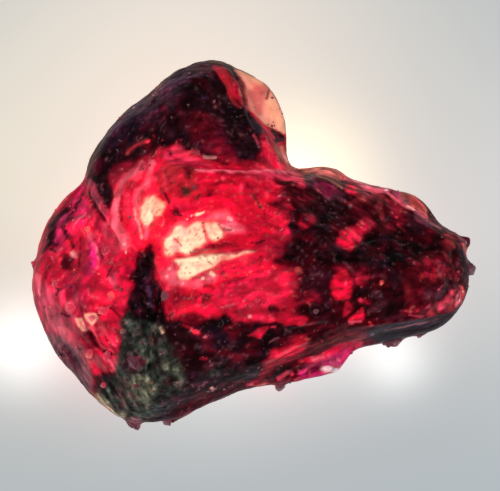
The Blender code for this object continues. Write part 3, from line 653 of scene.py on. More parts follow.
    ("dusk", 0.56, [5, -0.2, 5.6, -0.5, 5.5, -0.9, 4.9, -0.7]),
    # upper rim
    ("salmon", 0.2, [3.1, 4.4, 4, 4.7, 4.9, 4.9, 5.6, 4.6, 6.6, 4.1, 6, 3.75, 5, 4.1, 4.2, 4.25]),
    ("pink", 0.3, [5.9, 4.3, 7, 3.85, 7.7, 3.65, 8.6, 3.4, 9, 3.2, 8.6, 3, 7.8, 3.1, 7, 3.45, 6.2, 3.8]),
    ("blush", 0.4, [6, 4.2, 7, 3.85, 7.6, 3.6, 7, 3.6]),
    ("brick", 0.56, [6.1, 3.7, 7, 3.3, 8, 3, 8.8, 2.7, 9.5, 2, 9.2, 1.9, 8.6, 2.4, 7.6, 2.8, 6.6, 3.1]),
    ("salmon", 0.15, [9, 3.3, 9.6, 3.2, 10.2, 2.95, 10.8, 2.5, 11.15, 1.9, 11.4, 1.3, 10.9, 1.6, 10.3, 2,
        9.8, 2.2, 9.3, 2.6]),
    ("magenta", 0.2, [9.05, 3.2, 9.35, 3.1, 9.5, 2.8, 9.7, 2.5, 9.4, 2.45, 9.1, 2.9]),
    ("berry", 0.2, [9.7, 2.6, 10, 2.6, 10.2, 2.3, 10.25, 2.05, 9.9, 2.2, 9.6, 2.45]),
    # nose, above the band
    ("ruby", 0.3, [6, 3.5, 6.6, 3.4, 7, 3.1, 6.6, 2.9, 6.2, 2.9]),
    ("dusk", 0.7, [7, 3.2, 7.6, 3.1, 7.6, 2.7, 7.1, 2.7]),
    ("brick", 0.7, [6.9, 2.9, 7.6, 2.8, 7.8, 2.4, 7.4, 2.2, 6.8, 2.2, 6.4, 2.2, 6.4, 2.5]),
    ("maroon", 0.98, [6.1, 2.2, 7.6, 2.1, 7.9, 1.4, 7, 1.3, 6.3, 1]),
    ("brick", 0.2, [8.1, 2.7, 8.4, 2.6, 8.35, 2.2, 8.45, 1.6, 8.45, 1.2, 8.25, 1.2, 8.15, 1.7, 7.95, 1.9,
        7.8, 2.1, 8.1, 2.2]),
    ("wine", 0.7, [8.6, 2.6, 9.4, 2.2, 9.9, 1.7, 9.8, 1.2, 9, 1.2, 8.7, 1.6]),
    ("plum", 0.7, [9.8, 1.7, 10.4, 1.5, 11, 1.2, 12, 0.9, 11.8, 0.6, 11, 0.4, 10.2, 0.4, 9.8, 0.8]),
    ("maroon", 0.7, [11, 0.8, 12, 0.7, 11.8, 0.3, 11.3, -0.1, 10.9, 0]),
    ("crimson", 0.49, [7, 1.5, 7.6, 1.5, 7.9, 1.1, 7.7, 0.7, 7.3, 0.2, 7.1, -0.2, 6.7, 0.6]),
    ("ruby", 0.4, [5.3, -0.3, 5.5, 0.2, 5.8, 0.6, 6.2, 0.9, 6.8, 1, 7.2, 1.3, 7.4, 0.8, 7.1, 0.4, 7, 0,
        7, -0.2, 6.6, -0.2, 6.4, -0.7, 6.1, -0.6, 5.8, -0.4]),
    ("hot", 0.5, [5.9, -0.1, 6.2, 0.5, 6.8, 0.8, 6.7, 0.3, 6.4, -0.2]),
    ("wine", 0.56, [8.4, 0.9, 9, 0.9, 9.1, 0.4, 8.5, 0.5]),
    ("black", 0.7, [7.2, 0.2, 7.8, 0.3, 8.6, 0.3, 9.2, 0.6, 9.8, 0.7, 9.9, 0.1, 10.6, 0, 11, -0.3,
        12, -0.4, 12.4, -0.5, 13.2, -0.5, 13.4, -0.9, 12, -1, 11, -0.9, 10, -1.2, 9.6, -1.9, 8, -2,
        7.4, -1.7, 6.4, -1.3, 6.4, -0.9, 6.9, -0.1]),
    ("ink", 0.56, [11.8, 0.6, 12.2, 0.7, 12.2, 0.2, 11.8, 0]),
    ("brick", 0.7, [12.2, 0.4, 12.9, 0.3, 13.1, -0.2, 12.8, -0.6, 12.2, -0.3]),
    # nose, below the band
    ("plum", 0.84, [3, -2, 4.9, -1.9, 5.1, -3, 4.9, -4, 4, -4, 3.2, -3.2]),
    ("wine", 0.7, [2.8, -3.3, 4.2, -3.2, 4.6, -3.9, 3.6, -4.1, 2.8, -3.9]),
    ("ruby", 0.3, [2.4, -4.9, 3.7, -4.8, 3.6, -5.1, 3, -5.3, 2.2, -5.3]),
    ("wine", 0.56, [5.1, -1.7, 5.8, -1.5, 6.5, -1.7, 7.4, -2, 7.8, -2.2, 7.6, -2.9, 6.8, -2.9, 6.4, -2.1,
        5.3, -2.1]),
    ("crimson", 0.56, [6.5, -2.2, 7.3, -2.2, 7.4, -2.7, 6.8, -2.8]),
    ("ruby", 0.4, [5.15, -2.6, 5.4, -2.2, 5.8, -2, 6.1, -2.05, 6.3, -2.4, 6.45, -2.8, 6.3, -3, 6.4, -3.3,
        6.2, -3.7, 5.9, -3.65, 5.5, -3.7, 5.25, -3.4, 5.1, -3]),
    ("maroon", 0.7, [7.9, -2.2, 8.7, -2.3, 8.7, -3, 8, -3]),
    ("black", 0.42, [6.5, -3.4, 7, -3.1, 7.5, -2.95, 8, -2.95, 8.2, -3.1, 7.9, -3.6, 7.2, -3.6, 6.9, -3.6,
        6.5, -3.9, 6.4, -3.7]),
    ("crimson", 0.25, [5.7, -4.8, 5.8, -4.3, 6, -3.8, 6.3, -4, 6.5, -4.3, 6.4, -4.6, 6, -4.9]),
    ("ruby", 0.2, [6.1, -5.1, 6.4, -4.9, 6.8, -4.5, 7.1, -4.2, 7.25, -4.6, 7.2, -5, 7, -5.2, 6.2, -5.3]),
    ("crimson", 0.2, [6.7, -3.8, 6.95, -3.6, 7.2, -3.8, 7.7, -3.8, 7.6, -4.1, 7.2, -4, 6.9, -4]),
    ("dusk", 0.84, [7.9, -3.6, 8.5, -3.6, 8.7, -4.2, 8.2, -4.6, 7.8, -4.2]),
    ("wine", 0.56, [5.2, -4.1, 5.6, -4.1, 5.5, -4.7, 5.1, -4.6]),
    ("ink", 0.8, [8.6, -2.9, 9.4, -2, 10, -1.9, 9.9, -2.5, 9.6, -3.6, 9.4, -4.5, 8.9, -5, 8.3, -4.8,
        8.8, -3.8]),
    ("brick", 0.8, [10, -3.5, 10.3, -2.2, 10.8, -1.6, 11.4, -1, 12.3, -0.9, 12.6, -1.3, 12.9, -1.8,
        13.1, -2.1, 12.6, -2.5, 11.6, -2.4, 11, -2.7, 10.8, -3.3, 10.4, -3.9]),
    ("wine", 0.7, [11.3, -1.1, 12.4, -1.1, 12.6, -1.8, 12, -1.8]),
    ("crimson", 0.56, [10.9, -1.9, 12, -1.9, 12.9, -2, 12.6, -2.4, 11, -2.4]),
    ("dusk", 0.49, [10.8, -3.9, 11, -3.2, 11.3, -2.8, 12, -2.8, 12.6, -2.6, 13, -2.8, 12.8, -3.1,
        12.2, -3.4, 11.8, -3.8, 11.2, -3.95]),
    ("ink", 0.42, [11.1, -2.8, 11.7, -2.8, 11.6, -3.2, 11.1, -3.2]),
    ("rosered", 0.35, [11.8, -4.2, 12.3, -3.7, 12.9, -3.2, 13.1, -3.4, 12.9, -4, 12.5, -4.4, 12, -4.6]),
    ("brick", 0.42, [11, -4.7, 11.1, -4.2, 11.5, -3.95, 12, -4.1, 11.9, -4.6, 11.3, -4.8]),
    ("crimson", 0.42, [9.6, -4.5, 9.7, -4.1, 10.5, -4, 11, -4.1, 10.9, -4.5, 10, -4.7]),
    ("salmon", 0.15, [13.2, -2.8, 13.6, -3.1, 13.6, -3.5, 13.4, -4.2, 13, -4.3, 13.1, -3.6, 13.3, -3.2]),
    ("slate", 0.12, [7.4, -5.75, 8, -5.55, 9, -5.35, 10, -5.2, 11, -5, 12, -4.8, 12.8, -4.55, 13.3, -4.3,
        13.6, -4.3, 13.1, -5, 12.6, -5.4, 11.8, -5.8, 11, -6, 10.4, -6.1, 9.6, -6.2, 8.6, -6.5, 8, -6.3]),
    ("dusk", 0.56, [5.8, -5.7, 6.5, -5.5, 7.2, -5.7, 7.8, -5.7, 6.8, -5.95, 6, -5.9]),
    ("dusk", 0.56, [7.2, -5.9, 8, -5.8, 8.3, -6.3, 7.8, -6.6, 7.1, -6.5]),
    ("brick", 0.56, [6, -5.95, 7.2, -5.95, 7.3, -6.4, 6.6, -6.5, 5.6, -6.4]),
    # below the middle
    ("maroon", 0.7, [-1.8, -5.7, -1.3, -5.3, -0.8, -5.1, -0.5, -5.6, -1, -6, -1.6, -6]),
    ("wine", 0.42, [-4.8, -5.1, -4.4, -4.9, -4, -5.3, -3.3, -5.4, -2.9, -5.15, -2.8, -4.9, -3.6, -4.6,
        -4.6, -4.6]),
    ("black", 0.42, [-2.8, -4.95, -2, -4.95, -1.6, -4.6, -1.3, -4.85, -1, -5.2, -1.8, -5.4, -2.6, -5.3]),
    ("ink", 0.42, [-0.7, -5.2, 0, -5.1, 0.6, -5.3, 1.2, -5.4, 1.3, -5.5, 0.4, -5.5, 0.1, -5.9, -0.4, -5.7]),
    ("red", 0.2, [-0.4, -6.05, 0.1, -5.9, 0.3, -5.6, 0.9, -5.5, 1.3, -5.45, 1, -5.8, 0.8, -6, 0.6, -6.3,
        0.4, -6.1]),
    ("ruby", 0.15, [-3.8, -5.7, -3.5, -5.6, -3.2, -5.8, -3.3, -6, -3.6, -5.95]),
    ("night", 0.98, [-2.8, -5.5, -2, -5.3, -1.6, -5.8, -0.8, -6.4, -0.6, -7, -1.2, -6.9, -2.2, -6.4,
        -2.8, -5.9]),
    ("maroon", 0.84, [-1.6, -6.9, -0.6, -6.9, 0, -6.6, 0.8, -6.5, 0.8, -7, 0, -7.3, -0.8, -7.6,
        -1.5, -7.4]),
    ("ink", 0.84, [-4, -7.8, -2.8, -7.9, -2.6, -9.2, -3.6, -9.3, -4.2, -8.9]),
    ("slate", 0.4, [-0.8, -8.9, 0, -8.4, 0.4, -8.1, 0.6, -8.6, 0.2, -8.8, -0.4, -9.1]),
    ("moss", 0.2, [-2.6, -8.3, -2.3, -8.2, -2.2, -8.6, -2.5, -8.8]),
    ("slate", 0.2, [-3.6, -6.9, -3.5, -6.5, -3.3, -6.6, -3.3, -6.9]),
    ("dusk", 0.42, [-4.5, -10.2, -3.6, -10, -2.6, -9.6, -2.2, -9.7, -2.4, -10.1, -3.4, -10.3, -4.4, -10.7]),
    ("plum", 0.56, [-5.4, -10.4, -4.4, -10.3, -4, -10.7, -5, -11.2, -6, -11.4]),
    ("ruby", 0.3, [2, -5.5, 2.6, -5.3, 3.3, -5.15, 3.7, -4.9, 3.3, -4.8, 2.6, -4.9, 2, -5]),
    ("ink", 0.7, [0.4, -7, 1, -6.4, 1.4, -5.8, 2, -5.7, 2.6, -5.7, 3.2, -5.4, 4.4, -5.2, 4.9, -5,
        5.4, -5.1, 4.4, -5.5, 3.4, -5.8, 2.6, -6.1, 1.8, -6.3, 1.3, -6.8, 0.9, -7.3, 0.5, -7.8]),
    ("crimson", 0.49, [1, -7.6, 1.4, -7, 2, -6.7, 2.6, -6.4, 3, -6.1, 3.5, -6.1, 3.6, -6.7, 3, -7.3,
        2.2, -7.8, 1.4, -8.2, 0.8, -8.3]),
    ("red", 0.25, [1.4, -7.5, 1.8, -7.1, 2.2, -6.9, 2.8, -6.7, 3.3, -6.8, 3.4, -6.9, 2.8, -7.1, 2.2, -7.4,
        1.6, -7.6]),
    ("maroon", 0.7, [3.6, -6.4, 4, -5.8, 5, -5.7, 6, -5.9, 7, -6, 6, -6.5, 5, -6.8, 4, -7, 3.4, -7.2,
        3.4, -6.9]),
    # keel, with a painted glint in white and pink
    ("rosered", 0.25, [5.2, -6.85, 6, -6.6, 6.6, -6.4, 7.2, -6.5, 6.8, -6.9, 5.8, -7]),
    ("maroon", 0.42, [2.6, -8.2, 3.2, -7.9, 4.2, -7.7, 4.4, -7.8, 4.2, -8.5, 3.4, -8.4, 2.8, -8.6]),
    ("black", 0.25, [0.9, -8.8, 1.3, -8.4, 2, -8.2, 2.3, -8, 2.8, -8.2, 2.4, -8.3, 2, -8.5, 1.4, -8.6]),
    ("wine", 0.42, [1.4, -9, 1.7, -8.8, 2.3, -8.7, 2.6, -9, 2, -9.1]),
    ("rose", 0.2, [2.7, -9.2, 2.8, -8.8, 3.4, -8.7, 4.2, -8.6, 4.8, -8.5, 4.6, -8.9, 3.4, -9.3]),
    ("magenta", 0.3, [4.3, -7.9, 4.8, -7.6, 5.3, -7.4, 6, -7, 6.8, -6.9, 6.3, -7.6, 5.8, -8.1, 5.2, -8.6,
        4.5, -8.6]),
    ("lilac", 0.3, [5.1, -7.7, 5.5, -7.4, 5.9, -7.5, 5.7, -7.8, 5.2, -7.9]),
    ("pink", 0.2, [4.5, -8.25, 5, -8.2, 6, -7.6, 6.2, -7.8, 5.8, -8.3, 5.2, -8.6, 4.6, -8.5]),
    ("white", 0.12, [5.1, -8.3, 5.3, -8.1, 5.7, -7.95, 6, -7.7, 6.1, -7.75, 6, -8, 5.7, -8.3, 5.3, -8.45]),
    # matrix and ravine
    ("moss", 0.6, [-8.1, -4.9, -7.5, -4.4, -6, -4.6, -5.2, -6.6, -4.4, -7.8, -4, -9.6, -5, -10.3,
        -6, -11.5, -7.8, -11.7, -9, -10.9, -9.8, -9.7, -9.4, -9, -8.7, -8.8, -8.6, -8, -8.5, -7.3,
        -8.1, -7, -8.1, -6.3, -8.4, -5.9, -8.3, -5.2]),
    ("black", 0.56, [-7.2, -0.4, -6.9, -0.9, -6.6, -0.2, -6.2, -0.2, -6.3, -1.6, -6, -2.6, -5.6, -3.4,
        -5.4, -5, -6.4, -5.4, -7.8, -4.9, -7.7, -3.8, -7.3, -3, -7.3, -1.6, -7.4, -1.2]),
    ("night", 0.7, [-7.5, -3.2, -7.1, -3.4, -7, -4.4, -7.5, -4.4]),
    ("ink", 0.7, [-5.4, -8.6, -4.8, -8.6, -4.6, -8.9, -5, -9.2, -5.5, -9.1]),
    ("lichen", 0.3, [-5.6, -7.7, -5.2, -7.6, -5, -7.9, -5.3, -8.3, -5.6, -8]),
    ("lichen", 0.3, [-4.9, -7.8, -4.6, -7.9, -4.4, -8.2, -4.7, -8.5, -4.9, -8.3]),
    ("dusk", 0.56, [-8, -7.4, -7.4, -7.2, -6.9, -7.6, -7, -8.2, -7.6, -8.5, -8.1, -8]),
    ("stone", 0.4, [-10.2, -9.7, -9.4, -9.8, -8.6, -10.8, -7.8, -11.3, -8.6, -11.6, -9.6, -11]),
    ("lichen", 0.5, [-7.6, -8.8, -6.4, -8.4, -6, -9.8, -7, -10.4, -7.6, -9.8]),
    ("mauve", 0.3, [-8, -11.4, -7.4, -11.2, -6.9, -11.5, -6.9, -12.2, -7.6, -12.5, -8, -12]),
    ("dusk", 0.42, [13.3, 0.3, 13.9, 0.3, 14.4, -0.6, 14.4, -2.2, 13.8, -2.2, 13.6, -1, 13.3, -0.4]),
    ("mauve", 0.3, [8.6, -6.3, 9.4, -6.3, 9.6, -6.9, 8.9, -7.1, 8.4, -6.8]),
    ("mauve", 0.2, [1.5, -9.1, 2.1, -9.1, 2.1, -9.7, 1.7, -9.8, 1.4, -9.4]),
    ("mauve", 0.2, [10.5, -6.05, 11, -6.05, 11.1, -6.5, 10.5, -6.5]),
    ("rose", 0.2, [-14.4, -1.3, -14, -1.2, -14, -1.8, -14.4, -1.8]),
    # cheek, over the rest
    ("berry", 0.7, [-13.3, -0.9, -12.9, 0.7, -12.2, 1.9, -11.3, 2.7, -10.9, 2.2, -11.4, 1, -11.6, -0.2,
        -12.4, -1]),
    ("berry", 0.49, [-12.6, 1.6, -11.9, 1.9, -11.5, 1, -11.8, 0.1, -12.6, 0.2, -12.9, 0.9]),
    ("plum", 0.49, [-13.2, 0.2, -12.7, 0.6, -12.5, 0, -12.9, -0.8, -13.3, -0.9]),
    ("cerise", 0.35, [-12.4, 0.9, -12, 0.7, -11.9, 0, -12.3, -0.3, -12.6, 0.1]),
    ("cerise", 0.45, [-10.9, 2.4, -10.5, 2.9, -10.3, 2.2, -10.4, 1.2, -11.1, 0.4, -11.4, 0.6]),
    ("ruby", 0.8, [-11.2, 0.2, -10.5, 0.6, -10.2, -0.4, -10.3, -2.2, -11, -2.4, -11.3, -1.2]),
    ("damask", 0.7, [-10.5, 0.9, -9.9, 0.9, -9.5, -0.2, -9.5, -1.8, -9.9, -2.6, -10.6, -2.2]),
    ("magenta", 0.35, [-10.15, 0.1, -9.85, -0.2, -9.7, -0.8, -9.7, -1.5, -9.9, -1.9, -10.2, -1.5,
        -10.25, -0.6]),
    ("hotpink", 0.22, [-10.05, -0.3, -9.85, -0.6, -9.78, -1, -9.8, -1.4, -10, -1.5, -10.1, -0.9]),
    ("rose", 0.5, [-9.6, 1.2, -9.2, 1.1, -8.8, 0.2, -8.4, -0.5, -8.7, -0.9, -9.2, -0.2]),
    ("maroon", 0.49, [-11.9, -1.1, -11.4, -1, -11.2, -1.5, -11.5, -2.1, -11.9, -1.9]),
    ("crimson", 0.56, [-12.1, -3, -11.4, -2.9, -11.2, -3.6, -11.7, -3.9]),
    ("salmon", 0.12, [-12.85, -2.5, -12.3, -2.35, -12, -2.7, -12.15, -3.1, -12.4, -3]),
    ("rose", 0.1, [-12.6, -2.6, -12.25, -2.55, -12.1, -2.75, -12.3, -2.95]),
    ("dusk", 0.15, [-12.5, -3.1, -12.2, -3.15, -12.3, -3.6]),
    ("dullrose", 0.8, [-13.6, -4.2, -12.6, -4.6, -11.8, -5.4, -11.2, -6.2, -11.8, -6.6, -12.9, -6]),
    ("slatemauve", 0.6, [-13.2, -5.9, -12.2, -6, -11.2, -6.5, -10.6, -7.2, -10.2, -8.2, -10, -9.3,
        -10.8, -9.6, -12.2, -8.4, -13.1, -7]),
    ("dusk", 0.7, [-12.6, -6.5, -11.7, -6.6, -11, -7.4, -10.6, -8.4, -11.2, -8.6, -12.1, -7.7]),
    ("pink", 0.1, [-11.75, -4, -11.3, -3.95, -11.05, -4.3, -11.3, -4.6, -11.75, -4.5]),
    ("peach", 0.08, [-11.15, -4.95, -11.15, -4.95, -10.7, -4.9, -10.7, -4.9, -10.5, -5.4, -10.35, -5.75,
        -10.35, -5.75, -10.65, -5.8, -10.65, -5.8, -11.05, -5.35]),
    ("salmon", 0.1, [-10.95, -5.15, -10.75, -5.1, -10.75, -5.1, -10.6, -5.5, -10.6, -5.5, -10.85, -5.4]),
    ("peach", 0.08, [-10.6, -4.65, -10.6, -4.65, -9.75, -4.6, -9.75, -4.6, -9.6, -4.95, -9.6, -4.95,
        -10, -5.4, -10, -5.4, -10.4, -5.15]),
    ("rose", 0.08, [-10.35, -4.8, -10.35, -4.8, -9.9, -4.78, -9.9, -4.78, -9.85, -4.98, -10.05, -5.2,
        -10.05, -5.2]),
    ("damask", 1, [-12.8, -2, -11.5, -2.2, -10.6, -2.2, -10.2, -3, -10.8, -3.6, -11.8, -3.6, -12.8, -3]),
    ("plum", 0.8, [-12.9, 0.2, -12.6, 1.4, -11.8, 2.3, -11.2, 2.6, -11.6, 1.6, -12.2, 0.6, -12.5, -0.6]),
    ("cerise", 0.7, [-10.4, 0.5, -9.95, 0.5, -9.65, -0.5, -9.55, -1.3, -9.75, -2.2, -10.35, -2.1,
        -10.5, -1]),
    ("hotpink", 0.35, [-10.15, 0.1, -9.95, -0.1, -9.8, -0.6, -9.75, -1.2, -9.85, -1.7, -10.15, -1.6,
        -10.25, -0.8]),
    ("hot", 0.9, [-9.4, -1, -8.2, -1.3, -7.7, -2.6, -8.4, -4, -9.4, -3.6, -9.8, -2.2]),
    ("rose", 0.12, [-9, -1.8, -8.8, -2, -8.3, -3.2, -8.6, -3.1]),
    # middle, over the rest
    ("crimson", 0.9, [0, 3.6, 1.6, 3.6, 2.4, 2.4, 2.4, 0.8, 1.4, 0.5, 0.2, 1.3, -0.4, 2.4]),
    ("hot", 1, [-2.4, -3.2, -1.6, -2.8, 0.2, -2.3, 2.2, -2, 2.8, -3, 2.4, -3.9, 0.6, -4.5, -1.4, -4.5,
        -2.4, -4.1]),
    ("wine", 0.7, [0.8, 2.6, 1.8, 2.8, 2.3, 1.7, 1.5, 1.3, 0.8, 1.7]),
    # crest, over the rest
    ("violet", 0.84, [-9.6, 5.9, -8.9, 7.4, -7.8, 8.7, -6.8, 9.3, -6.6, 8.2, -7.4, 7.2, -8.4, 6.2]),
    ("night", 0.98, [-8.9, 6.1, -7.9, 7.4, -7.2, 8.2, -6.6, 7.6, -7.2, 6.7, -8.1, 6]),
    ("violet", 0.8, [-6.2, 9.9, -5.2, 10.8, -4.2, 11.3, -3.9, 10.4, -4.8, 9.6, -5.8, 8.8]),
    ("plum", 0.8, [-6.2, 8.6, -5.2, 9, -4.4, 8.4, -5, 7.4, -6, 7.2]),
    ("maroon", 0.8, [-3.9, 8.2, -2.8, 8.3, -1.9, 7.4, -2.2, 6.4, -3.4, 6.2, -4.2, 7]),
    # nose, over the rest
    ("maroon", 0.98, [10, -3.9, 10.2, -2.4, 10.9, -1.3, 12.2, -0.9, 13, -1.9, 12.6, -3, 11.6, -3.6,
        11, -4.6, 10.2, -4.6]),
    ("wine", 0.7, [10.8, -1.5, 12.1, -1.2, 12.7, -1.9, 11.9, -2.3, 10.9, -2.3]),
    ("dusk", 0.56, [11, -3.2, 12, -2.9, 12.7, -3, 12.2, -3.6, 11.2, -3.9]),
    ("wine", 0.56, [10.9, -4.1, 11.7, -4, 12, -4.4, 11.3, -4.7, 10.7, -4.6]),
    ("brick", 0.56, [12.5, -4.3, 12.8, -3.6, 13.2, -2.9, 13.6, -3.2, 13.6, -4, 13.1, -4.5]),
    ("pink", 0.14, [13.1, -3.5, 13.4, -3.2, 13.5, -3.7, 13.3, -4.1, 13.05, -4]),
    ("slate", 0.25, [7.2, -5.6, 8.5, -5.3, 10, -5.05, 11.5, -4.85, 12.8, -4.55, 13.7, -4, 13.4, -5.3,
        12.2, -6.1, 10.4, -6.6, 8.6, -6.7, 7.6, -6.3]),
    ("maroon", 0.7, [2.6, 3.3, 3.5, 3.2, 3.9, 2.6, 3.6, 1.9, 2.7, 2.1]),
    # low rim, over the rest
    ("night", 0.56, [-6.4, -11.3, -5, -10.7, -3.6, -10, -2, -9.5, 0, -9.1, 1.2, -9, 1.2, -10, -2, -10.6,
        -5, -12.2]),
    ("slate", 0.4, [-6.6, -10.7, -5, -10.1, -3.6, -9.5, -3.8, -9.9, -5.4, -10.8]),
    ("magenta", 0.35, [2.9, -8.5, 3.6, -7.9, 4.6, -7.4, 5.6, -7, 6.6, -6.8, 6.9, -7.2, 6.2, -8, 5, -8.9,
        3.6, -9.1]),
    ("berry", 0.25, [3.3, -8.5, 4, -8, 4.6, -7.9, 4.7, -8.2, 4, -8.6]),
    # painted glint on the keel, white in a pink haze
    ("pink", 0.25, [4.6, -8.1, 5.3, -7.7, 6.1, -7.5, 6, -8, 5.2, -8.5, 4.6, -8.5]),
    ("white", 0.16, [4.4, -8.2, 4.6, -7.95, 5.3, -7.8, 5.7, -7.75, 5.5, -8.05, 5, -8.25, 4.5, -8.35]),
    ("rosered", 0.2, [3.4, -7.7, 4.3, -7.4, 5.6, -6.95, 6.3, -6.7, 6.2, -6.9, 5, -7.25, 4, -7.7]),
    ("oxblood", 0.7, [-5, -10.6, -3.6, -9.9, -2, -9.4, 0, -9, 0, -9.6, -2, -10, -3.6, -10.6, -5, -11.4]),
]

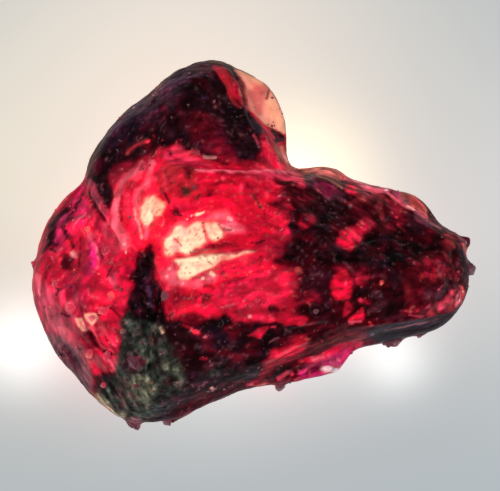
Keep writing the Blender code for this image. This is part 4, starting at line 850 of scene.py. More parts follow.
# strokes: colour, half width, line; each thins out towards its ends; the blush ones are painted
# glints and highlights
STROKES = [
    # cheek
    ("slate", 0.08, [-7.1, -1.2, -7, -1.8, -6.85, -2.2]),
    ("violet", 0.12, [-6.5, -2.8, -6.4, -3.6, -6.2, -4.3]),
    ("magenta", 0.13, [-12.4, 0.2, -12.2, 1, -11.7, 1.7]),
    ("cerise", 0.12, [-11.8, 0.3, -11.5, 1.1, -11, 1.9, -10.6, 2.6]),
    ("magenta", 0.1, [-11.3, 2.5, -10.9, 3, -10.6, 3.4]),
    ("plum", 0.13, [-12.8, 0.8, -12.3, 1.6, -11.7, 2.2]),
    ("plum", 0.1, [-11.3, 1.8, -10.9, 2.4, -10.6, 3]),
    ("rosered", 0.1, [-9.4, -0.2, -9.3, -1, -9.5, -1.8]),
    ("wine", 0.08, [-10.9, 0.2, -10.8, -0.8, -10.9, -1.8]),
    ("plum", 0.15, [-11.8, 0.6, -11.8, 0.1, -11.6, -0.1, -11.3, -0.5]),
    ("plum", 0.12, [-13, 0.2, -13.1, -0.3, -13.2, -1]),
    ("plum", 0.12, [-12.8, -0.6, -12.4, -0.8]),
    ("berry", 0.15, [-11.5, 1.8, -11.3, 1.2]),
    ("magenta", 0.16, [-12.5, -0.3, -12.3, 0.2, -12.1, 0.6]),
    ("cerise", 0.2, [-11.5, 0.3, -11.2, 0.8, -10.9, 1.3, -10.5, 1.8, -10.3, 2.1]),
    ("pink", 0.06, [-11.3, 0.7, -10.9, 1.3, -10.5, 1.8]),
    ("cerise", 0.1, [-11.6, 1.7, -11.3, 2.2, -11.1, 2.7, -10.9, 3]),
    ("hot", 0.08, [-10.7, 2.8, -10.4, 2.4, -10.2, 2.1]),
    ("hot", 0.12, [-11.7, 0, -11.5, -0.5, -11.6, -0.9]),
    ("hot", 0.1, [-12.1, -1, -12.2, -1.6, -12.4, -1.9]),
    ("wine", 0.1, [-10.1, 1.9, -10.3, 1.3, -10.5, 0.9]),
    ("pink", 0.08, [-10.4, 0.6, -10.3, 0.2, -10.3, -0.2]),
    ("pink", 0.08, [-10.2, 0.6, -10.1, 0.1, -9.9, -0.3, -9.75, -0.8, -9.7, -1.5, -9.8, -1.9]),
    ("wine", 0.06, [-9.7, -0.3, -9.5, -0.9, -9.4, -1.2]),
    ("black", 0.1, [-10.4, 3.1, -10.05, 2.4, -9.9, 2, -9.6, 1.6, -9.4, 1.15]),
    ("mauve", 0.1, [-9.4, 3.6, -9.4, 3.2]),
    ("berry", 0.14, [-8.9, 2.4, -8.95, 1.6, -8.9, 1]),
    ("wine", 0.05, [-8.4, 0.45, -8, 0.5]),
    ("blush", 0.14, [-11.4, -0.8, -11.1, -0.9, -11.2, -1.1]),
    ("wine", 0.06, [-8.7, -1.3, -9, -1.9, -9.2, -2.4]),
    ("brick", 0.12, [-8, -1.4, -8, -1.1]),
    ("pink", 0.07, [-9.1, -2.3, -8.8, -2.8, -8.4, -3.2]),
    ("plum", 0.08, [-12.8, -2.6, -12.4, -3.1, -12.1, -3.2]),
    ("berry", 0.15, [-11.9, -2.9, -11.3, -3]),
    ("pink", 0.2, [-13.7, -2.2, -13.65, -2.9, -13.6, -3.6]),
    ("black", 0.07, [-12.1, -4.6, -11.7, -4.8, -11.4, -4.85]),
    ("black", 0.1, [-10.2, -5.9, -10.1, -6.3, -9.8, -6.8, -9.4, -7.1, -8.6, -7.3]),
    ("salmon", 0.06, [-8.5, -6.1, -8.45, -6.5]),
    ("black", 0.06, [-8.9, -4.2, -8.5, -4.6, -8.2, -4.9]),
    ("ink", 0.05, [-8.8, -5.6, -8.4, -5.7]),
    ("tan", 0.08, [-10.3, -9.5, -10, -9.8, -9.6, -10.1]),
    ("black", 0.07, [-9, -8.9, -8.7, -9.5, -8.3, -10]),
    ("black", 0.05, [-9.7, -9.2, -9.3, -9.7]),
    ("mauve", 0.08, [-8.5, -9.4, -8.2, -9.9]),
    ("mauve", 0.08, [-7.8, -9.6, -7.3, -10]),
    ("rosered", 0.12, [-7.35, -7.45, -7.1, -7.55]),
    ("stone", 0.12, [-5.8, -5.4, -5.5, -5.8]),
    # crest
    ("umber", 0.08, [-10.35, 4.2, -10.25, 5, -10, 5.8]),
    ("violet", 0.15, [-6.5, 8.3, -6, 8.3]),
    ("mauve", 0.06, [-6.4, 9.3, -6.2, 9.5, -6, 9.4, -6.2, 9.2, -6.4, 9.3]),
    ("slate", 0.1, [-5.2, 8.9, -5, 8.3]),
    ("violet", 0.1, [-4.6, 10.3, -3.8, 10.5, -3, 10.6]),
    ("umber", 0.1, [-6.2, 9.7, -5.8, 10.1, -5.4, 10.4]),
    ("wine", 0.15, [-4.8, 6.3, -4.4, 6.3]),
    ("brick", 0.15, [-5.7, 6, -5.7, 5.2]),
    ("brick", 0.13, [-7.9, 5.4, -7.6, 5.9, -7, 6.1, -6.4, 6.25]),
    ("hot", 0.06, [-6.9, 6.05, -6.4, 6.25]),
    ("violet", 0.1, [-2.7, 9, -3, 9.1, -3.2, 9.2]),
    ("night", 0.1, [-1.5, 11.1, -1.1, 10.6, -0.8, 10.3]),
    ("umber", 0.07, [-0.7, 10.3, -0.5, 9.9, -0.4, 9.4, -0.3, 9]),
    ("slate", 0.14, [-0.3, 8.8, -0.25, 8.5, -0.2, 8.2]),
    ("slate", 0.22, [0, 7.8, 0.3, 7.3, 0.7, 6.7]),
    ("salmon", 0.08, [-0.75, 9.7, -0.6, 9.2]),
    ("maroon", 0.05, [-0.85, 9.8, -0.9, 9.4]),
    ("rose", 0.09, [0.1, 6.7, 0.4, 6.4, 0.45, 6.1]),
    ("tan", 0.06, [-1.1, 11.05, -0.6, 10.9, 0, 10.6, 0.6, 10.3, 1.1, 9.8, 1.6, 9.2, 1.9, 8.7, 2.1, 8.1]),
    ("olive", 0.06, [2.1, 8.1, 2.2, 7.5, 2.25, 6.9, 2.25, 6.2, 2.3, 5.7]),
    ("brick", 0.06, [1.1, 9.7, 1.1, 9.4, 1, 9]),
    ("rosered", 0.09, [0.8, 7.3, 1.2, 6.9, 1.5, 6.5]),
    ("red", 0.07, [0, 8.3, 0.5, 7.6, 1, 7.1]),
    ("tan", 0.1, [1.5, 6, 1.7, 5.6, 1.9, 5.3]),
    # folds; the pink and blush streaks are partly pink veils in the crystal and partly painted
    # highlights on the fold ridges
    ("pink", 0.24, [-6.95, 4.9, -7.2, 4.5, -7.6, 4.2, -8, 3.9, -8.3, 3.3, -8.55, 2.6, -8.65, 1.9,
        -8.75, 1.1]),
    ("pink", 0.3, [-8.65, 1.6, -8.5, 0.8, -8.2, 0, -8, -0.6]),
    ("wine", 0.12, [-8.2, 2.8, -8.3, 1.8, -8.2, 1.2]),
    ("rosered", 0.2, [-7.8, 2.9, -7.9, 2.4, -7.7, 1.8, -7.4, 1.2, -7.1, 0.5]),
    ("pink", 0.2, [-6.2, 5, -6.4, 4.6, -6.55, 4.1, -6.65, 3.6, -6.9, 3.3, -7.15, 3.1, -7.2, 2.5,
        -7.1, 2.1]),
    ("blush", 0.13, [-7.3, 2, -7.25, 1.5]),
    ("blush", 0.08, [-7.3, 1.4, -7.1, 1.1, -7, 0.6, -6.95, 0.1]),
    ("wine", 0.15, [-6.9, 4.8, -7.1, 4.4]),
    ("pink", 0.13, [-6.7, 1, -6.6, 0.6, -6.8, 0.1]),
    ("umber", 0.09, [-3.5, 2.6, -3.3, 3]),
    ("rose", 0.1, [-5.4, 3.9, -5.4, 3.4]),
    ("plum", 0.1, [-5.5, 3, -5.3, 2.6, -5.2, 2.4]),
    ("plum", 0.08, [-5, 2, -4.7, 1.7, -4.3, 1.5]),
    ("crimson", 0.18, [-5.2, 1.6, -4.7, 1.3]),
    ("brick", 0.2, [-6, 4.1, -5.7, 3.5, -5.5, 3]),
    ("blush", 0.09, [-3.15, 5.35, -2.7, 5.25, -2.1, 5.3]),
    ("brick", 0.1, [-3.5, 5.5, -3.3, 5.7]),
    # painted highlight along the ridge's crest
    ("pink", 0.1, [-3.6, 4.35, -2.4, 4.25, -0.4, 4.2, 1.2, 4.3, 2.4, 4.3]),
    # middle
    ("brick", 0.05, [-4.9, 0.1, -4.6, -0.1, -4.4, -0.4]),
    ("salmon", 0.05, [-3.6, 0.9, -3.5, 0.5, -3.3, 0.1]),
    ("hot", 0.07, [-2.95, 0.7, -2.85, 0.2, -2.75, -0.1]),
    ("blush", 0.12, [-1.9, 0.95, -1.6, 0.7, -1.1, 0.6]),
    ("brick", 0.04, [-2, 0.95, -1.75, 0.7, -1.2, 0.55]),
    ("blush", 0.12, [-1.5, 1.4, -1.2, 1.3]),
    ("cream", 0.06, [-3.3, 1.65, -3, 1.75]),
    ("wine", 0.14, [-3, -0.55, -2.4, -0.4, -1.4, -0.3, -0.8, -0.4]),
    ("maroon", 0.08, [0, -0.25, 0.4, -0.25, 0.9, -0.1]),
    ("brick", 0.03, [-4.3, -1.6, -4, -1.9, -3.8, -2.2]),
    ("brick", 0.03, [-3.5, -1.7, -3.25, -1.9]),
    ("brick", 0.03, [-2.9, -1, -2.7, -1.4, -2.4, -1.55]),
    ("cream", 0.14, [-2.65, -2.1, -2.35, -2.05]),
    ("maroon", 0.09, [0.3, -2.1, 0.7, -2]),
    ("wine", 0.1, [0.9, -1.9, 0.3, -2.1, -0.4, -2.4, -1.2, -2.5]),
    ("crimson", 0.18, [-2, -2, -1.6, -2.3, -1.2, -2.6]),
    # painted shadow below the lumps above
    ("wine", 0.16, [-3.1, -2.9, -2.6, -2.9, -2.3, -3.1]),
    ("maroon", 0.1, [-3, -3.4, -2.6, -3.6]),
    ("pink", 0.07, [-0.5, -3.8, -0.2, -3.75]),
    ("pink", 0.1, [-1.6, -4.2, -1.1, -4]),
    ("maroon", 0.3, [1.2, -4.3, 1.8, -4.4]),
    ("umber", 0.11, [0, 3, 0.3, 2.6, 0.55, 2.2, 0.65, 2]),
    ("plum", 0.13, [2.5, 1.8, 2.6, 1.4, 2.55, 1, 2.6, 0.6, 2.7, 0.2]),
    ("tan", 0.08, [3.1, 4.35, 3.8, 4.3, 4.5, 4, 5.3, 3.75, 5.9, 3.3]),
    ("slate", 0.07, [1.7, -0.8, 2, -0.75]),
    ("brick", 0.12, [2.3, -1.8, 2.9, -1.9]),
    # upper rim and nose
    ("pink", 0.12, [8, 3.3, 8.4, 3.2]),
    ("pink", 0.08, [8.6, 3.1, 9, 2.75, 9.3, 2.45, 9.7, 2.15, 10, 2.05, 10.4, 1.85, 10.8, 1.6, 11.3, 1.3]),
    ("blush", 0.06, [9.8, 2.15, 10, 2.05, 10.4, 1.85]),
    ("umber", 0.06, [9, 3.25, 9.6, 3.22, 10, 3.1]),
    ("umber", 0.06, [10.5, 2.85, 10.9, 2.5, 11.2, 1.95, 11.35, 1.5, 11.55, 1.2]),
    ("berry", 0.08, [10.4, 2.05, 10.8, 1.75, 11.2, 1.45]),
    ("mauve", 0.1, [10.3, 1.85, 11, 1.45, 11.5, 1.1, 12.2, 0.8]),
    ("dusk", 0.18, [10.4, 1.6, 10.9, 1.3, 11.3, 1.05]),
    ("brick", 0.1, [9.3, 1.05, 9.6, 0.8, 9.8, 0.6]),
    ("rose", 0.05, [13.15, 0.4, 13.3, 0.1, 13.5, -0.2]),
    ("dusk", 0.1, [13.2, 0.2, 13.35, -0.1, 13.4, -0.5]),
    ("umber", 0.08, [13.1, 0.5, 13.3, 0.25, 13.6, 0.1]),
    ("salmon", 0.12, [13.6, -0.2, 13.7, -0.7, 13.85, -1]),
    ("slate", 0.15, [13.3, -0.6, 13.5, -1.2, 13.6, -1.8, 13.7, -2.5]),
    ("mauve", 0.07, [5.9, -1.4, 6.2, -1.7, 6.5, -2.1]),
    ("salmon", 0.1, [8.3, -2.6, 8.35, -2.9]),
    ("dusk", 0.05, [3.75, -4.3, 3.9, -4.85, 4.4, -4.85, 4.55, -4.4, 4.2, -4.05, 3.75, -4.3]),
    ("pink", 0.05, [6.15, -5.2, 7, -5.15]),
    ("ruby", 0.1, [7.5, -5.2, 7.7, -5.4]),
    ("dusk", 0.06, [11.6, -1.4, 12.2, -1.5, 12.6, -1.7]),
    ("rose", 0.05, [11.8, -3.2, 12.1, -2.9, 12.3, -2.75]),
    ("rose", 0.05, [11.1, -4.3, 11.4, -4.05]),
    ("rose", 0.05, [12.1, -4.5, 12.4, -4.2, 12.6, -3.9]),
    ("rose", 0.05, [9.9, -4.7, 10.5, -4.85, 11, -4.8]),
    ("pink", 0.1, [13.4, -3.8, 13.1, -4.2]),
    ("ink", 0.07, [8, -6, 9, -5.9, 10, -5.8, 11, -5.6, 12, -5.3]),
    ("mauve", 0.06, [8.4, -5.7, 9.6, -5.5, 10.8, -5.3, 12.2, -4.95]),
    # low
    ("wine", 0.1, [-4.3, -5.3, -3.9, -5.5, -3.7, -5.6]),
    ("wine", 0.09, [-1.7, -5.6, -1.3, -5.4, -0.8, -5.3]),
    ("rosered", 0.09, [1.3, -5.6, 1.6, -5.5]),
    ("mauve", 0.09, [-3, -6.1, -2.85, -6.15, -2.8, -6]),
    ("crimson", 0.1, [-3.3, -7.45, -3, -7.5, -2.75, -7.45]),
    ("maroon", 0.1, [-2.8, -7.1, -2.5, -6.95, -2.2, -7]),
    ("slate", 0.1, [-1.85, -7.3, -1.7, -7.7]),
    ("moss", 0.1, [-2.1, -8.3, -2.1, -8.7]),
    ("blush", 0.06, [-2.65, -9.4, -2.45, -9.45, -2.4, -9.6]),
    ("rose", 0.07, [-0.3, -9.2, 0.1, -9.1]),
    ("salmon", 0.09, [0.3, -9.3, 0.6, -9.2, 0.9, -9.1]),
    ("umber", 0.08, [4, -6.9, 5, -6.5, 6, -6.2]),
    ("mauve", 0.05, [1.2, -6.5, 1.5, -6.3, 1.8, -6.2]),
    ("hot", 0.04, [5.8, -6.8, 6.5, -6.6]),
    ("red", 0.13, [4.6, -7.2, 5.2, -7.05, 5.8, -6.95]),
    ("red", 0.12, [3, -7.75, 3.6, -7.65, 4, -7.55]),
    ("pink", 0.09, [3.8, -7.6, 4.3, -7.5, 4.7, -7.35]),
    ("rosered", 0.13, [1.6, -8.8, 2, -8.5, 2.4, -8.4, 2.7, -8.6]),
    ("pink", 0.07, [5.4, -7.35, 5.7, -7.3]),
]

# dots: colour, radius and their places; the white and blush ones, and many of the small pale ones
# on dark places, are painted glints
DOTS = [
    ("blush", 0.12, [-8.05, -0.3, -0.1, -4.8]),
    ("blush", 0.1, [-8.03, -0.8, -5.15, -1.83, -5.3, -2.3]),
    ("plum", 0.1, [-13.2, -4.3, -12.4, -3.5]),
    ("brick", 0.15, [-9.2, -5.2, 0.7, 5.03]),
    ("berry", 0.12, [-10.6, -6.6]),
    ("plum", 0.12, [-12, -7.3]),
    ("tan", 0.12, [-8.1, -5.7]),
    ("white", 0.06, [-5.7, -7.1, 13.35, -3.85]),
    ("stone", 0.1, [-4.75, -9.1]),
    ("brick", 0.12, [-6.9, -7.75, -6.2, 6.6]),
    ("mauve", 0.1, [-9.2, 5.15, -4.2, -3.7]),
    ("lilac", 0.06, [-7.5, 8.45]),
    ("mauve", 0.09, [-4, 8.6]),
    ("mauve", 0.06, [-5.15, 9.62, 7.25, 0.7, 3.85, -2.45]),
    ("brick", 0.08, [-5.6, 6.4, 4.45, -6.4]),
    ("maroon", 0.1, [-5.1, 5.5]),
    ("lilac", 0.07, [-2.35, 8.82]),
    ("umber", 0.12, [-2.3, 8.5]),
    ("mauve", 0.07, [-1.4, 8.65]),
    ("brick", 0.05, [0.93, 9.15]),
    ("mauve", 0.12, [-3.7, 3.3, 6.3, 2.1]),
    ("hot", 0.07, [-1.85, 5.1, 6.95, -3.75]),
    ("blush", 0.07, [-1.5, 4.67, -3.75, 1.55, -1.2, -1.7, -0.7, -1.4]),
    ("umber", 0.05, [-4.45, 0.55, -4.25, -0.15, -3.5, -0.2, -3, 0.5, -3.8, 0.75, -4.9, -0.4, -2.1, 0.1]),
    ("tan", 0.05, [-4.6, 0.1, -3.25, 0.8, -5.2, -0.1]),
    ("brick", 0.06, [-2.35, 0.4]),
    ("cream", 0.13, [-3.4, 1.65]),
    ("blush", 0.08, [-4, 1.35, -4.3, -2.75]),
    ("cream", 0.1, [-3.05, -2.38]),
    ("pink", 0.1, [-0.35, -1.5, 1.8, 2.8]),
    ("pink", 0.07, [0.88, -1.23, 6.35, -7.25]),
    ("maroon", 0.09, [0.6, -1.1]),
    ("hot", 0.15, [-3.3, -3.7]),
    ("pink", 0.09, [-1.2, -3.4]),
    ("stone", 0.09, [2.3, 2.5]),
    ("rose", 0.07, [0.3, 1.2, 1.35, 1.3]),
    ("rose", 0.06, [1.05, 0.4]),
    ("umber", 0.06, [4.53, 3.35, 5.12, 3.2]),
    ("slate", 0.12, [4.3, 0.25]),
    ("slate", 0.07, [3.5, 0.35, 6.95, -0.75]),
    ("pink", 0.06, [1.6, -2.4, 3, -2.4, 5.05, -7.55]),
    ("brick", 0.09, [5.95, 3.95]),
    ("white", 0.08, [8.65, 3.2]),
    ("plum", 0.14, [7.8, 2.2]),
    ("night", 0.18, [8.68, 1.45]),
    ("hot", 0.1, [9.28, 1.5, 13.22, -1.9]),
    ("slate", 0.09, [6.7, -0.7]),
    ("stone", 0.06, [3.15, -3.2]),
    ("lilac", 0.05, [12.32, -2.73, -3.3, -9.45]),
    ("blush", 0.06, [13.55, -3.3, -1.4, -9.3]),
    ("lilac", 0.09, [7.7, -6]),
    ("slate", 0.1, [-1.5, -6.2]),
    ("stone", 0.05, [-2.6, -7.65]),
    ("wine", 0.12, [-0.2, -6.6]),
    ("blush", 0.05, [-1.2, -9.2, -1.7, -9.5]),
    ("salmon", 0.07, [3.4, -6.3]),
    ("pink", 0.08, [2.4, -8.45]),
    ("plum", 0.05, [5.9, -7.5]),
]

# the veils' ragged edges: size and reach of the wavering, in mm
WAVER = [(1.1, 0.26), (0.45, 0.16), (0.2, 0.08)]
LEAST_TURN = -0.2                       # skin turned from the eye by more gets no patches
SCREEN_CURVE = 2.2
HOLE_SIZE = 0.55                        # the veils' thin places, in mm
STROKE_SHARE = 0.9                      # how much a stroke hides of what it crosses

wavered = []
for axis, coordinate in enumerate((u, v)):
    shake = [reach * clouds(shape, size, 1, 20.0 + 5.0 * axis) for size, reach in WAVER]
    wavered.append(coordinate + sum(shake))


def light(colour):
    """The light a colour gives, from its look on a screen."""
    return (np.array(COLOURS[colour]) / 255.0) ** SCREEN_CURVE


colour_at = np.tile(light(BACKGROUND), (len(u), 1))


def lay(colour, share, picked):
    """Lays a colour over the ones that are there."""
    under = colour_at[picked]
    colour_at[picked] = under + share[:, None] * (light(colour) - under)


def within(line, reach):
    """The numbers of the points that face the eye within reach of a line's box."""
    low = np.min(np.reshape(line, (-1, 2)), axis=0) - reach
    high = np.max(np.reshape(line, (-1, 2)), axis=0) + reach
    inside = eyeward > LEAST_TURN
    for coordinate, lowest, highest in zip(wavered, low, high):
        inside &= (coordinate > lowest) & (coordinate < highest)
    return np.flatnonzero(inside)


def shaken(picked, edge):
    """The points' places in the picture, wavering most where the edge is soft."""
    share = min(1.0, 0.15 + edge)
    pairs = [(plain[picked], ragged[picked]) for plain, ragged in zip((u, v), wavered)]
    return [plain + share * (ragged - plain) for plain, ragged in pairs]


for colour, edge, outline in ZONES:
    picked = within(outline, edge)
    lay(colour, patch(*shaken(picked, 1.0), outline, edge), picked)
for number, (colour, edge, outline) in enumerate(PATCHES):
    picked = within(outline, edge)
    holes = np.minimum(clouds(shape[picked], HOLE_SIZE, 3, 3.0 * number) + 0.1, 0.0)
    holes = 1.0 + min(0.8, 2.5 * edge) * holes
    lay(colour, holes * patch(*shaken(picked, edge), outline, edge), picked)
for colour, half, line in STROKES:
    picked = within(line, 2.0 * half)
    away, along = near(*shaken(picked, 2.0 * half), line)
    thick = half * np.minimum(1.0, 3.5 * np.sqrt(np.clip(along * (1.0 - along), 0.0, 0.25)) + 0.25)
    lay(colour, STROKE_SHARE - STROKE_SHARE * smooth(away, 0.0, thick * 1.7), picked)
for colour, radius, places_of_dots in DOTS:
    for dot in np.reshape(places_of_dots, (-1, 2)):
        picked = within(dot, 2.0 * radius)
        away = np.hypot(*(np.array(shaken(picked, radius)) - dot[:, None]))
        lay(colour, 1.0 - smooth(away, radius * 0.3, radius * 1.4), picked)

# flecks over the whole skin: colour, size in mm, rarity, strength and the least red beneath,
# or, where that is below nothing, the most; above 1, they lie on the pale places alone
FLECKS = [
    ("wine", 1.3, 0.20, 0.20, 0.25), ("maroon", 0.6, 0.28, 0.18, 0.25), ("ink", 0.3, 0.55, 0.35, 0.12),
    ("hot", 0.8, 0.25, 0.28, 0.30), ("pink", 0.35, 0.50, 0.22, 0.30), ("salmon", 0.25, 0.68, 0.35, 0.10),
    ("wine", 0.9, 0.30, 0.16, -0.10), ("dusk", 0.5, 0.30, 0.20, -0.10), ("violet", 0.7, 0.35, 0.15, -0.06),
    ("mauve", 0.25, 0.50, 0.35, -0.10), ("black", 0.4, 0.15, 0.5, -0.14),
    ("salmon", 0.5, 0.35, 0.25, 2.0), ("tan", 0.16, 0.50, 0.6, 2.0),
]
FLECK_EDGE = 0.25
FLECKS_SPARED = 0.8                     # the smooth broken faces keep free of most flecks
for number, (colour, size, rarity, strength, bound) in enumerate(FLECKS):
    beneath = smooth(colour_at[:, 0], abs(bound) * 0.6, abs(bound) * 1.4)
    pale = smooth(colour_at[:, 1], 0.15, 0.5)
    chosen = pale if bound > 1 else (beneath if bound > 0 else 1.0 - beneath) * (1.0 - pale)
    flecks = smooth(clouds(shape, size, 2, 50.0 + 4.0 * number), rarity, rarity + FLECK_EDGE)
    lay(colour, strength * flecks * chosen * (1.0 - FLECKS_SPARED * polish), slice(None))

# grain: where it runs (u, v), its direction in degrees, its length and width in mm and strength
GRAIN = [
    (-11.5, 0.5, 65, 1.6, 0.30, 0.45), (-11.5, -4.0, 100, 0.8, 0.4, 0.45), (-7.5, 2.5, 70, 1.8, 0.5, 0.3),
    (-7.0, -8.0, -60, 1.3, 0.20, 0.7), (-5.0, 9.0, 20, 0.7, 0.35, 0.7), (-3.5, 4.5, 10, 1.0, 0.3, 0.5),
    (-3.0, 0.0, 8, 1.5, 0.30, 0.18), (0.0, -3.5, 12, 1.2, 0.35, 0.35), (-2.0, -7.5, 0, 0.9, 0.4, 0.7),
    (5.0, 2.0, -30, 1.0, 0.3, 0.7), (7.0, -3.5, 5, 1.2, 0.3, 0.7), (11.5, -1.5, -8, 1.3, 0.3, 0.6),
    (5.0, -6.5, 18, 2.0, 0.25, 0.6), (0.8, 9.0, -60, 2.0, 0.8, 0.12),
]
GRAIN_REACH = 4.5                       # twice the square of how far each one reaches, in mm
GRAIN_CONTRAST = 1.5
RIM_SHADE = 0.70                         # painted shade: the skin's colour darkens to this where it turns from the eye
tone = np.zeros(len(u))
weights = np.zeros(len(u)) + 1e-6
for number, (gu, gv, degrees, length, width, strength) in enumerate(GRAIN):
    turn = math.radians(degrees)
    along = (u * math.cos(turn) + v * math.sin(turn)) / length
    across = (v * math.cos(turn) - u * math.sin(turn)) / width
    streaks = clouds(np.column_stack([along, across, w / width]), 1.0, 3, 9.0 * number)
    weight = np.exp(-((u - gu) ** 2 + (v - gv) ** 2) / GRAIN_REACH)
    tone += weight * strength * streaks
    weights += weight
colour_at *= np.exp(GRAIN_CONTRAST * tone / weights)[:, None]
colour_at *= RIM_SHADE + (1.0 - RIM_SHADE) * smooth(eyeward, 0.05, 0.45)[:, None]

# the sides and the underside, which the picture doesn't show: veils of the same colours
VEIL_SIZE = 4.5
FLAW_SIZE = 1.4
veil = clouds(shape, VEIL_SIZE, 3, 40.0) - 0.5 * smooth(np.abs(v), 6.0, 9.5) - 0.05
fleck = clouds(shape, FLAW_SIZE, 3, 60.0)
turned = np.tile(light(BACKGROUND), (len(u), 1))
for depth, rise, veils in (
    # how deep the veil is there, over what rise each colour comes in, and from what level
    (veil + 0.25 * fleck, 0.14, ((0.10, "red"), (0.32, "hot"))),
    (-veil - 0.35 * fleck, 0.12, ((0.02, "wine"), (0.16, "maroon"), (0.34, "ink"))),
):
    for level, colour in veils:
        turned += smooth(depth, level, level + rise)[:, None] * (light(colour) - turned)
show = smooth(eyeward, -0.15, 0.12)[:, None]
colour_at = turned + show * (colour_at - turned)

redness, paleness = colour_at[:, 0], colour_at[:, 1]
# one colour attribute carries the stains together with the painted hot spots, glints and rim shade
stain = lump_mesh.color_attributes.new("stain", "FLOAT_COLOR", "POINT")
stain.data.foreach_set("color", np.column_stack([colour_at, np.ones(len(u))]).ravel())
for name, share in (
    ("matrix", grit),
    ("polish", polish),
    ("side", (0.7 + 0.3 * smooth(eyeward, -0.3, 0.1)) * (1.0 - smooth(eyeward, 0.45, 0.85))),
    ("dense", 1.0 - smooth(redness, 0.06, 0.42)),
    # painted light: how strongly the skin glows by its own emission, most where the colour is reddest and
    # palest, standing in for the light from below shining through
    ("glow", 0.62 + 0.24 * smooth(redness, 0.50, 0.95) + 0.16 * smooth(paleness, 0.12, 0.60)),
):
    lump_mesh.attributes.new(name, "FLOAT", "POINT").data.foreach_set("value", share)

MOTTLE_REPEATS = 1400.0                 # clouds in a metre
COARSE_REPEATS = 900.0
SPECK_REPEATS = 2300.0
FINE_REPEATS = 2600.0
MOTTLE_TINTS = ((0.55, 0.50, 0.52, 1.0), (1.0, 1.0, 1.0, 1.0))
MOTTLE_SHARE = 0.55
CRUST_TINTS = ((0.62, 0.62, 0.60, 1.0), (2.1, 2.1, 2.0, 1.0))
RUBY_IOR = 1.77
RELIEF_BUMP = {"Strength": 0.35, "Distance": 0.00012}
POLISH = {"Coat Roughness": 0.06, "Coat IOR": 1.5}
CLEAR = {"IOR": RUBY_IOR, "Specular IOR Level": 0.35, "Transmission Weight": 0.85}
CLOSED = {"Roughness": 0.45, "IOR": 1.2, "Specular IOR Level": 0.2}
# painted light: the dense and matrix parts glow by their own emission in their colour
CLOSED_PAINTED_GLOW = 0.6
DEPTH = {"Color": (0.80, 0.30, 0.38, 1.0), "Density": 90.0}

ruby, wire, output = new_material("ruby")
place = wire.place()
stain_and_light_wire = wire.attribute("stain", "Color")
polish_wire = wire.attribute("polish")
side_wire = wire.attribute("side")

mottle = wire.cloud(place, MOTTLE_REPEATS, 4.0).between(0.30, 0.72)
mottled = wire.mixed(mottle, *MOTTLE_TINTS)
tinted = wire.mixed(MOTTLE_SHARE, stain_and_light_wire, mottled, "MULTIPLY")
fine = wire.cloud(place, FINE_REPEATS, 5.0)
coarse = wire.cloud(place, COARSE_REPEATS, 4.0)
bump = wire.node("ShaderNodeBump", {}, {**RELIEF_BUMP, "Height": fine * 0.5 + coarse})
# painted light: the clear crystal also glows by its own emission in its stained colour
gem = wire.node("ShaderNodeBsdfPrincipled", {}, {
    **CLEAR,
    **POLISH,
    "Base Color": tinted,
    "Roughness": 0.24 + 0.15 * mottle - 0.1 * polish_wire + 0.4 * side_wire,
    "Coat Weight": 0.4 - 0.4 * side_wire,
    "Emission Color": wire.vectors("SCALE", tinted, wire.attribute("glow")),
    "Emission Strength": 1.0,
    "Normal": bump,
})
speck = wire.cloud(place, SPECK_REPEATS, 4.0).between(0.40, 0.75)
crust_share = (wire.attribute("matrix") + 0.5 * coarse - 0.25).between(0.3, 0.7)
crust_colour = wire.mixed(crust_share, stain_and_light_wire, wire.mixed(speck, *CRUST_TINTS), "MULTIPLY")
opaque_colour = wire.mixed(crust_share, tinted, crust_colour)
opaque = wire.node("ShaderNodeBsdfPrincipled", {}, {
    **CLOSED,
    **POLISH,
    "Base Color": opaque_colour,
    "Coat Weight": 0.3 - 0.3 * side_wire,
    "Emission Color": opaque_colour,
    "Emission Strength": CLOSED_PAINTED_GLOW,
    "Normal": bump,
})
dense_share = wire.maths("MAXIMUM", 0.95 * wire.attribute("dense"), 0.8 * side_wire)
opaque_share = wire.maths("MAXIMUM", crust_share, dense_share)
surface = wire.node("ShaderNodeMixShader", {}, {0: opaque_share, 1: gem, 2: opaque})
surface.ends_in(output.inputs["Surface"])
wire.node("ShaderNodeVolumeAbsorption", {}, DEPTH).ends_in(output.inputs["Volume"])

lump_mesh.materials.clear()
lump_mesh.materials.append(ruby)
stone = bpy.data.objects.new("ruby_stone", lump_mesh)
scene.collection.objects.link(stone)
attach(stone, "root")
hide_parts("rough_ruby")

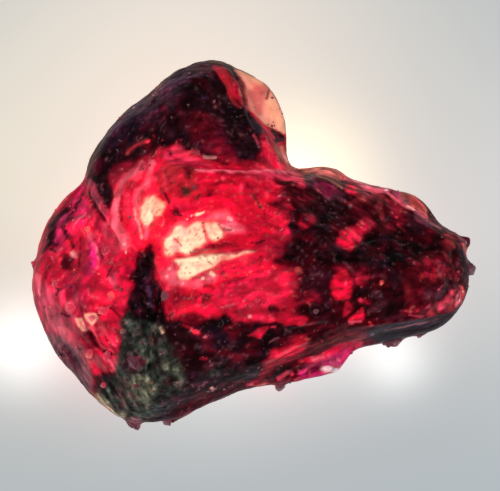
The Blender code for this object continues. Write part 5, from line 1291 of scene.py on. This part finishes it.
# The grains
# Bits of corundum and of its matrix that are grown into the skin or stuck to it: blocky,
# clear, pink or grey. The largest sit on the cheek, in the dark matrix and along the rim.
GRAINS = [
    # half size in mm, places (u, v) in the picture
    (0.30, [-12.45, -2.8, -9.1, -7.3]),
    (0.32, [-11.4, -4.3, -9.3, -4.5]),
    (0.30, [-10.2, -7.2]),
    (0.16, [-12.4, -3.2, 10.75, -6.1, 8.55, -6.6, -13.9, -1.5, -8.3, -11.75]),
    (0.34, [-5.4, -3.5, 8.8, -6.5, 9.3, -6.45, 13.95, -2.4, 1.85, -9.35, -8.85, -3.6, -5.3, -11.5]),
    (0.50, [-7.4, -7.8]),
    (0.36, [-7.3, -11.8, 14.0, -1.9]),
    (0.20, [-7.2, -9.2, -9.35, -9.2, -6.0, -11.75, -8.1, -5.8, 13.6, -0.2, 13.4, 0.3]),
    (0.10, [-5.05, 7.8, -4.0, 8.6, -8.4, 7.8, -5.7, -7.1, -2.4, -9.5, -3.3, -9.4, -1.4, -9.3]),
    (0.10, [-1.2, -9.2, 3.15, -3.2, -4.75, -9.1, -2.6, -7.65, 12.3, -2.75, -2.35, 8.85]),
    (0.10, [3.9, -2.45, 7.7, -6.0, 6.35, -7.2]),
    (0.20, [4.1, -4.5, -8.2, -3.2, -10.4, 0.7, 13.7, -4.1]),
]
SCATTER = [(0.06, 40), (0.05, 25), (0.06, 50), (0.08, 40), (0.05, 20)]  # half size in mm, how many
SCATTER_SPREAD = (0.7, 1.5)
SCATTER_ABOVE = 0.001                   # none of the scattered ones is lower than this
GRAIN_SUNK = 0.10                       # a grain's middle stands this share of its half size out
GRAIN_SPREAD = (0.7, 1.3)               # a grain's sides, against its half size
GRAIN_DENTS = 1.5
GRAIN_CLARITY = 0.4
# painted light: the grains glow by their own emission in their tint
GRAIN_PAINTED_GLOW = 0.5
CHEEK_END = (-0.0088, -0.0080)          # left of here the grains are pink, right of it grey
RAY_FROM = 20.0                         # a point above the skin, and one within it, in mm
RAY_NEAR = -2.0

bare = bmesh.new()
bare.from_mesh(lump_mesh)
skin_tree = BVHTree.FromBMesh(bare)
bare.free()


def on_skin(u, v):
    """The skin's place and normal under a picture point, or next to it beyond the outline."""
    place, normal, _, _ = skin_tree.ray_cast(at(u, v, RAY_FROM), -TO_EYE)
    if place is None:
        place, normal, _, _ = skin_tree.find_nearest(at(u, v, RAY_NEAR))
    return place, normal


seeds = []
for half, spots in GRAINS:
    for spot in np.reshape(spots, (-1, 2)):
        seeds.append((half, *on_skin(*spot)))
chance = random.Random(5)
for half, count in SCATTER:
    for _ in range(count):
        face = lump_mesh.polygons[chance.randrange(len(lump_mesh.polygons))]
        if face.center.z > SCATTER_ABOVE:
            size = half * chance.uniform(*SCATTER_SPREAD)
            seeds.append((size, face.center.copy(), face.normal.copy()))

seed_mesh = bpy.data.meshes.new("grain_places")
spots = [place + normal * (GRAIN_SUNK * half * MM) for half, place, normal in seeds]
seed_mesh.from_pydata(spots, [], [])
halves = seed_mesh.attributes.new("half", "FLOAT", "POINT")
halves.data.foreach_set("value", [half * MM for half, _, _ in seeds])
grain_seeds = bpy.data.objects.new("grain_places", seed_mesh)
scene.collection.objects.link(grain_seeds)

grain_paint, wire, output = new_material("ruby_grains")
place = wire.place()
frost = wire.cloud(place, 3000.0)
change = wire.cloud(place, 700.0).between(0.40, 0.60)
across = wire.node("ShaderNodeSeparateXYZ", {}, {"Vector": place}, "X")
pinks, greys = [
    wire.mixed(change, *((*light(colour), 1.0) for colour in pair))
    for pair in (("rose", "salmon"), ("dusk", "mauve"))
]
tint = wire.mixed(across.between(*CHEEK_END), pinks, greys)
wire.node("ShaderNodeBsdfPrincipled", {}, {
    "Base Color": tint,
    "Roughness": 0.15 + 0.3 * frost,
    "IOR": RUBY_IOR,
    "Transmission Weight": GRAIN_CLARITY,
    "Emission Color": tint,
    "Emission Strength": GRAIN_PAINTED_GLOW,
}).ends_in(output.inputs["Surface"])

grain_rule = bpy.data.node_groups.new("grains", "GeometryNodeTree")
for name, kind, way in (
    ("Places", "NodeSocketGeometry", "INPUT"),
    ("Smallest side", "NodeSocketVector", "INPUT"),
    ("Largest side", "NodeSocketVector", "INPUT"),
    ("Dents", "NodeSocketFloat", "INPUT"),
    ("Seed", "NodeSocketInt", "INPUT"),
    ("Material", "NodeSocketMaterial", "INPUT"),
    ("Grains", "NodeSocketGeometry", "OUTPUT"),
):
    grain_rule.interface.new_socket(name, in_out=way, socket_type=kind)
entry = grain_rule.nodes.new("NodeGroupInput")
given = {socket.name: Wire(grain_rule, socket) for socket in entry.outputs if socket.name}
wire = Wire(grain_rule)
nugget = wire.node("GeometryNodeMeshIcoSphere", {}, {"Radius": 1.0, "Subdivisions": 1})
dents = wire.node("ShaderNodeTexNoise", {}, {"Scale": 1.3}, "Color")
dents = wire.vectors("SCALE", wire.vectors("SUBTRACT", dents, (0.5, 0.5, 0.5)), given["Dents"])
nugget = wire.node("GeometryNodeSetPosition", {}, {"Geometry": nugget, "Offset": dents})
vector_chance = {"data_type": "FLOAT_VECTOR"}
turn = {0: (0, 0, 0), 1: (math.tau,) * 3, 8: given["Seed"]}
turn = wire.node("FunctionNodeRandomValue", vector_chance, turn)
sides = {0: given["Smallest side"], 1: given["Largest side"], 8: given["Seed"]}
sides = wire.node("FunctionNodeRandomValue", vector_chance, sides)
half = wire.node("GeometryNodeInputNamedAttribute", {"data_type": "FLOAT"}, {"Name": "half"})
sides = wire.vectors("SCALE", sides, half)
placed = {"Points": given["Places"], "Instance": nugget, "Rotation": turn, "Scale": sides}
grown = wire.node("GeometryNodeInstanceOnPoints", {}, placed)
grown = wire.node("GeometryNodeRealizeInstances", {}, {"Geometry": grown})
grown = wire.node("GeometryNodeSetMaterial", {}, {"Geometry": grown, "Material": given["Material"]})
grown.ends_in(grain_rule.nodes.new("NodeGroupOutput").inputs["Grains"])

growing = grain_seeds.modifiers.new("grains", "NODES")
growing.node_group = grain_rule
sockets = {item.name: item.identifier for item in grain_rule.interface.items_tree}
for name, value in (
    ("Smallest side", (GRAIN_SPREAD[0],) * 3),
    ("Largest side", (GRAIN_SPREAD[1],) * 3),
    ("Dents", GRAIN_DENTS),
    ("Seed", 3),
    ("Material", grain_paint),
):
    growing[sockets[name]] = value
grown = grain_seeds.evaluated_get(bpy.context.evaluated_depsgraph_get())
grain_mesh = bpy.data.meshes.new_from_object(grown)
grain_seeds.modifiers.remove(growing)
bpy.data.objects.remove(grain_seeds)
grain_mesh.materials.pop(index=0)
grains = bpy.data.objects.new("ruby_grains", grain_mesh)
scene.collection.objects.link(grains)
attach(grains, "root")
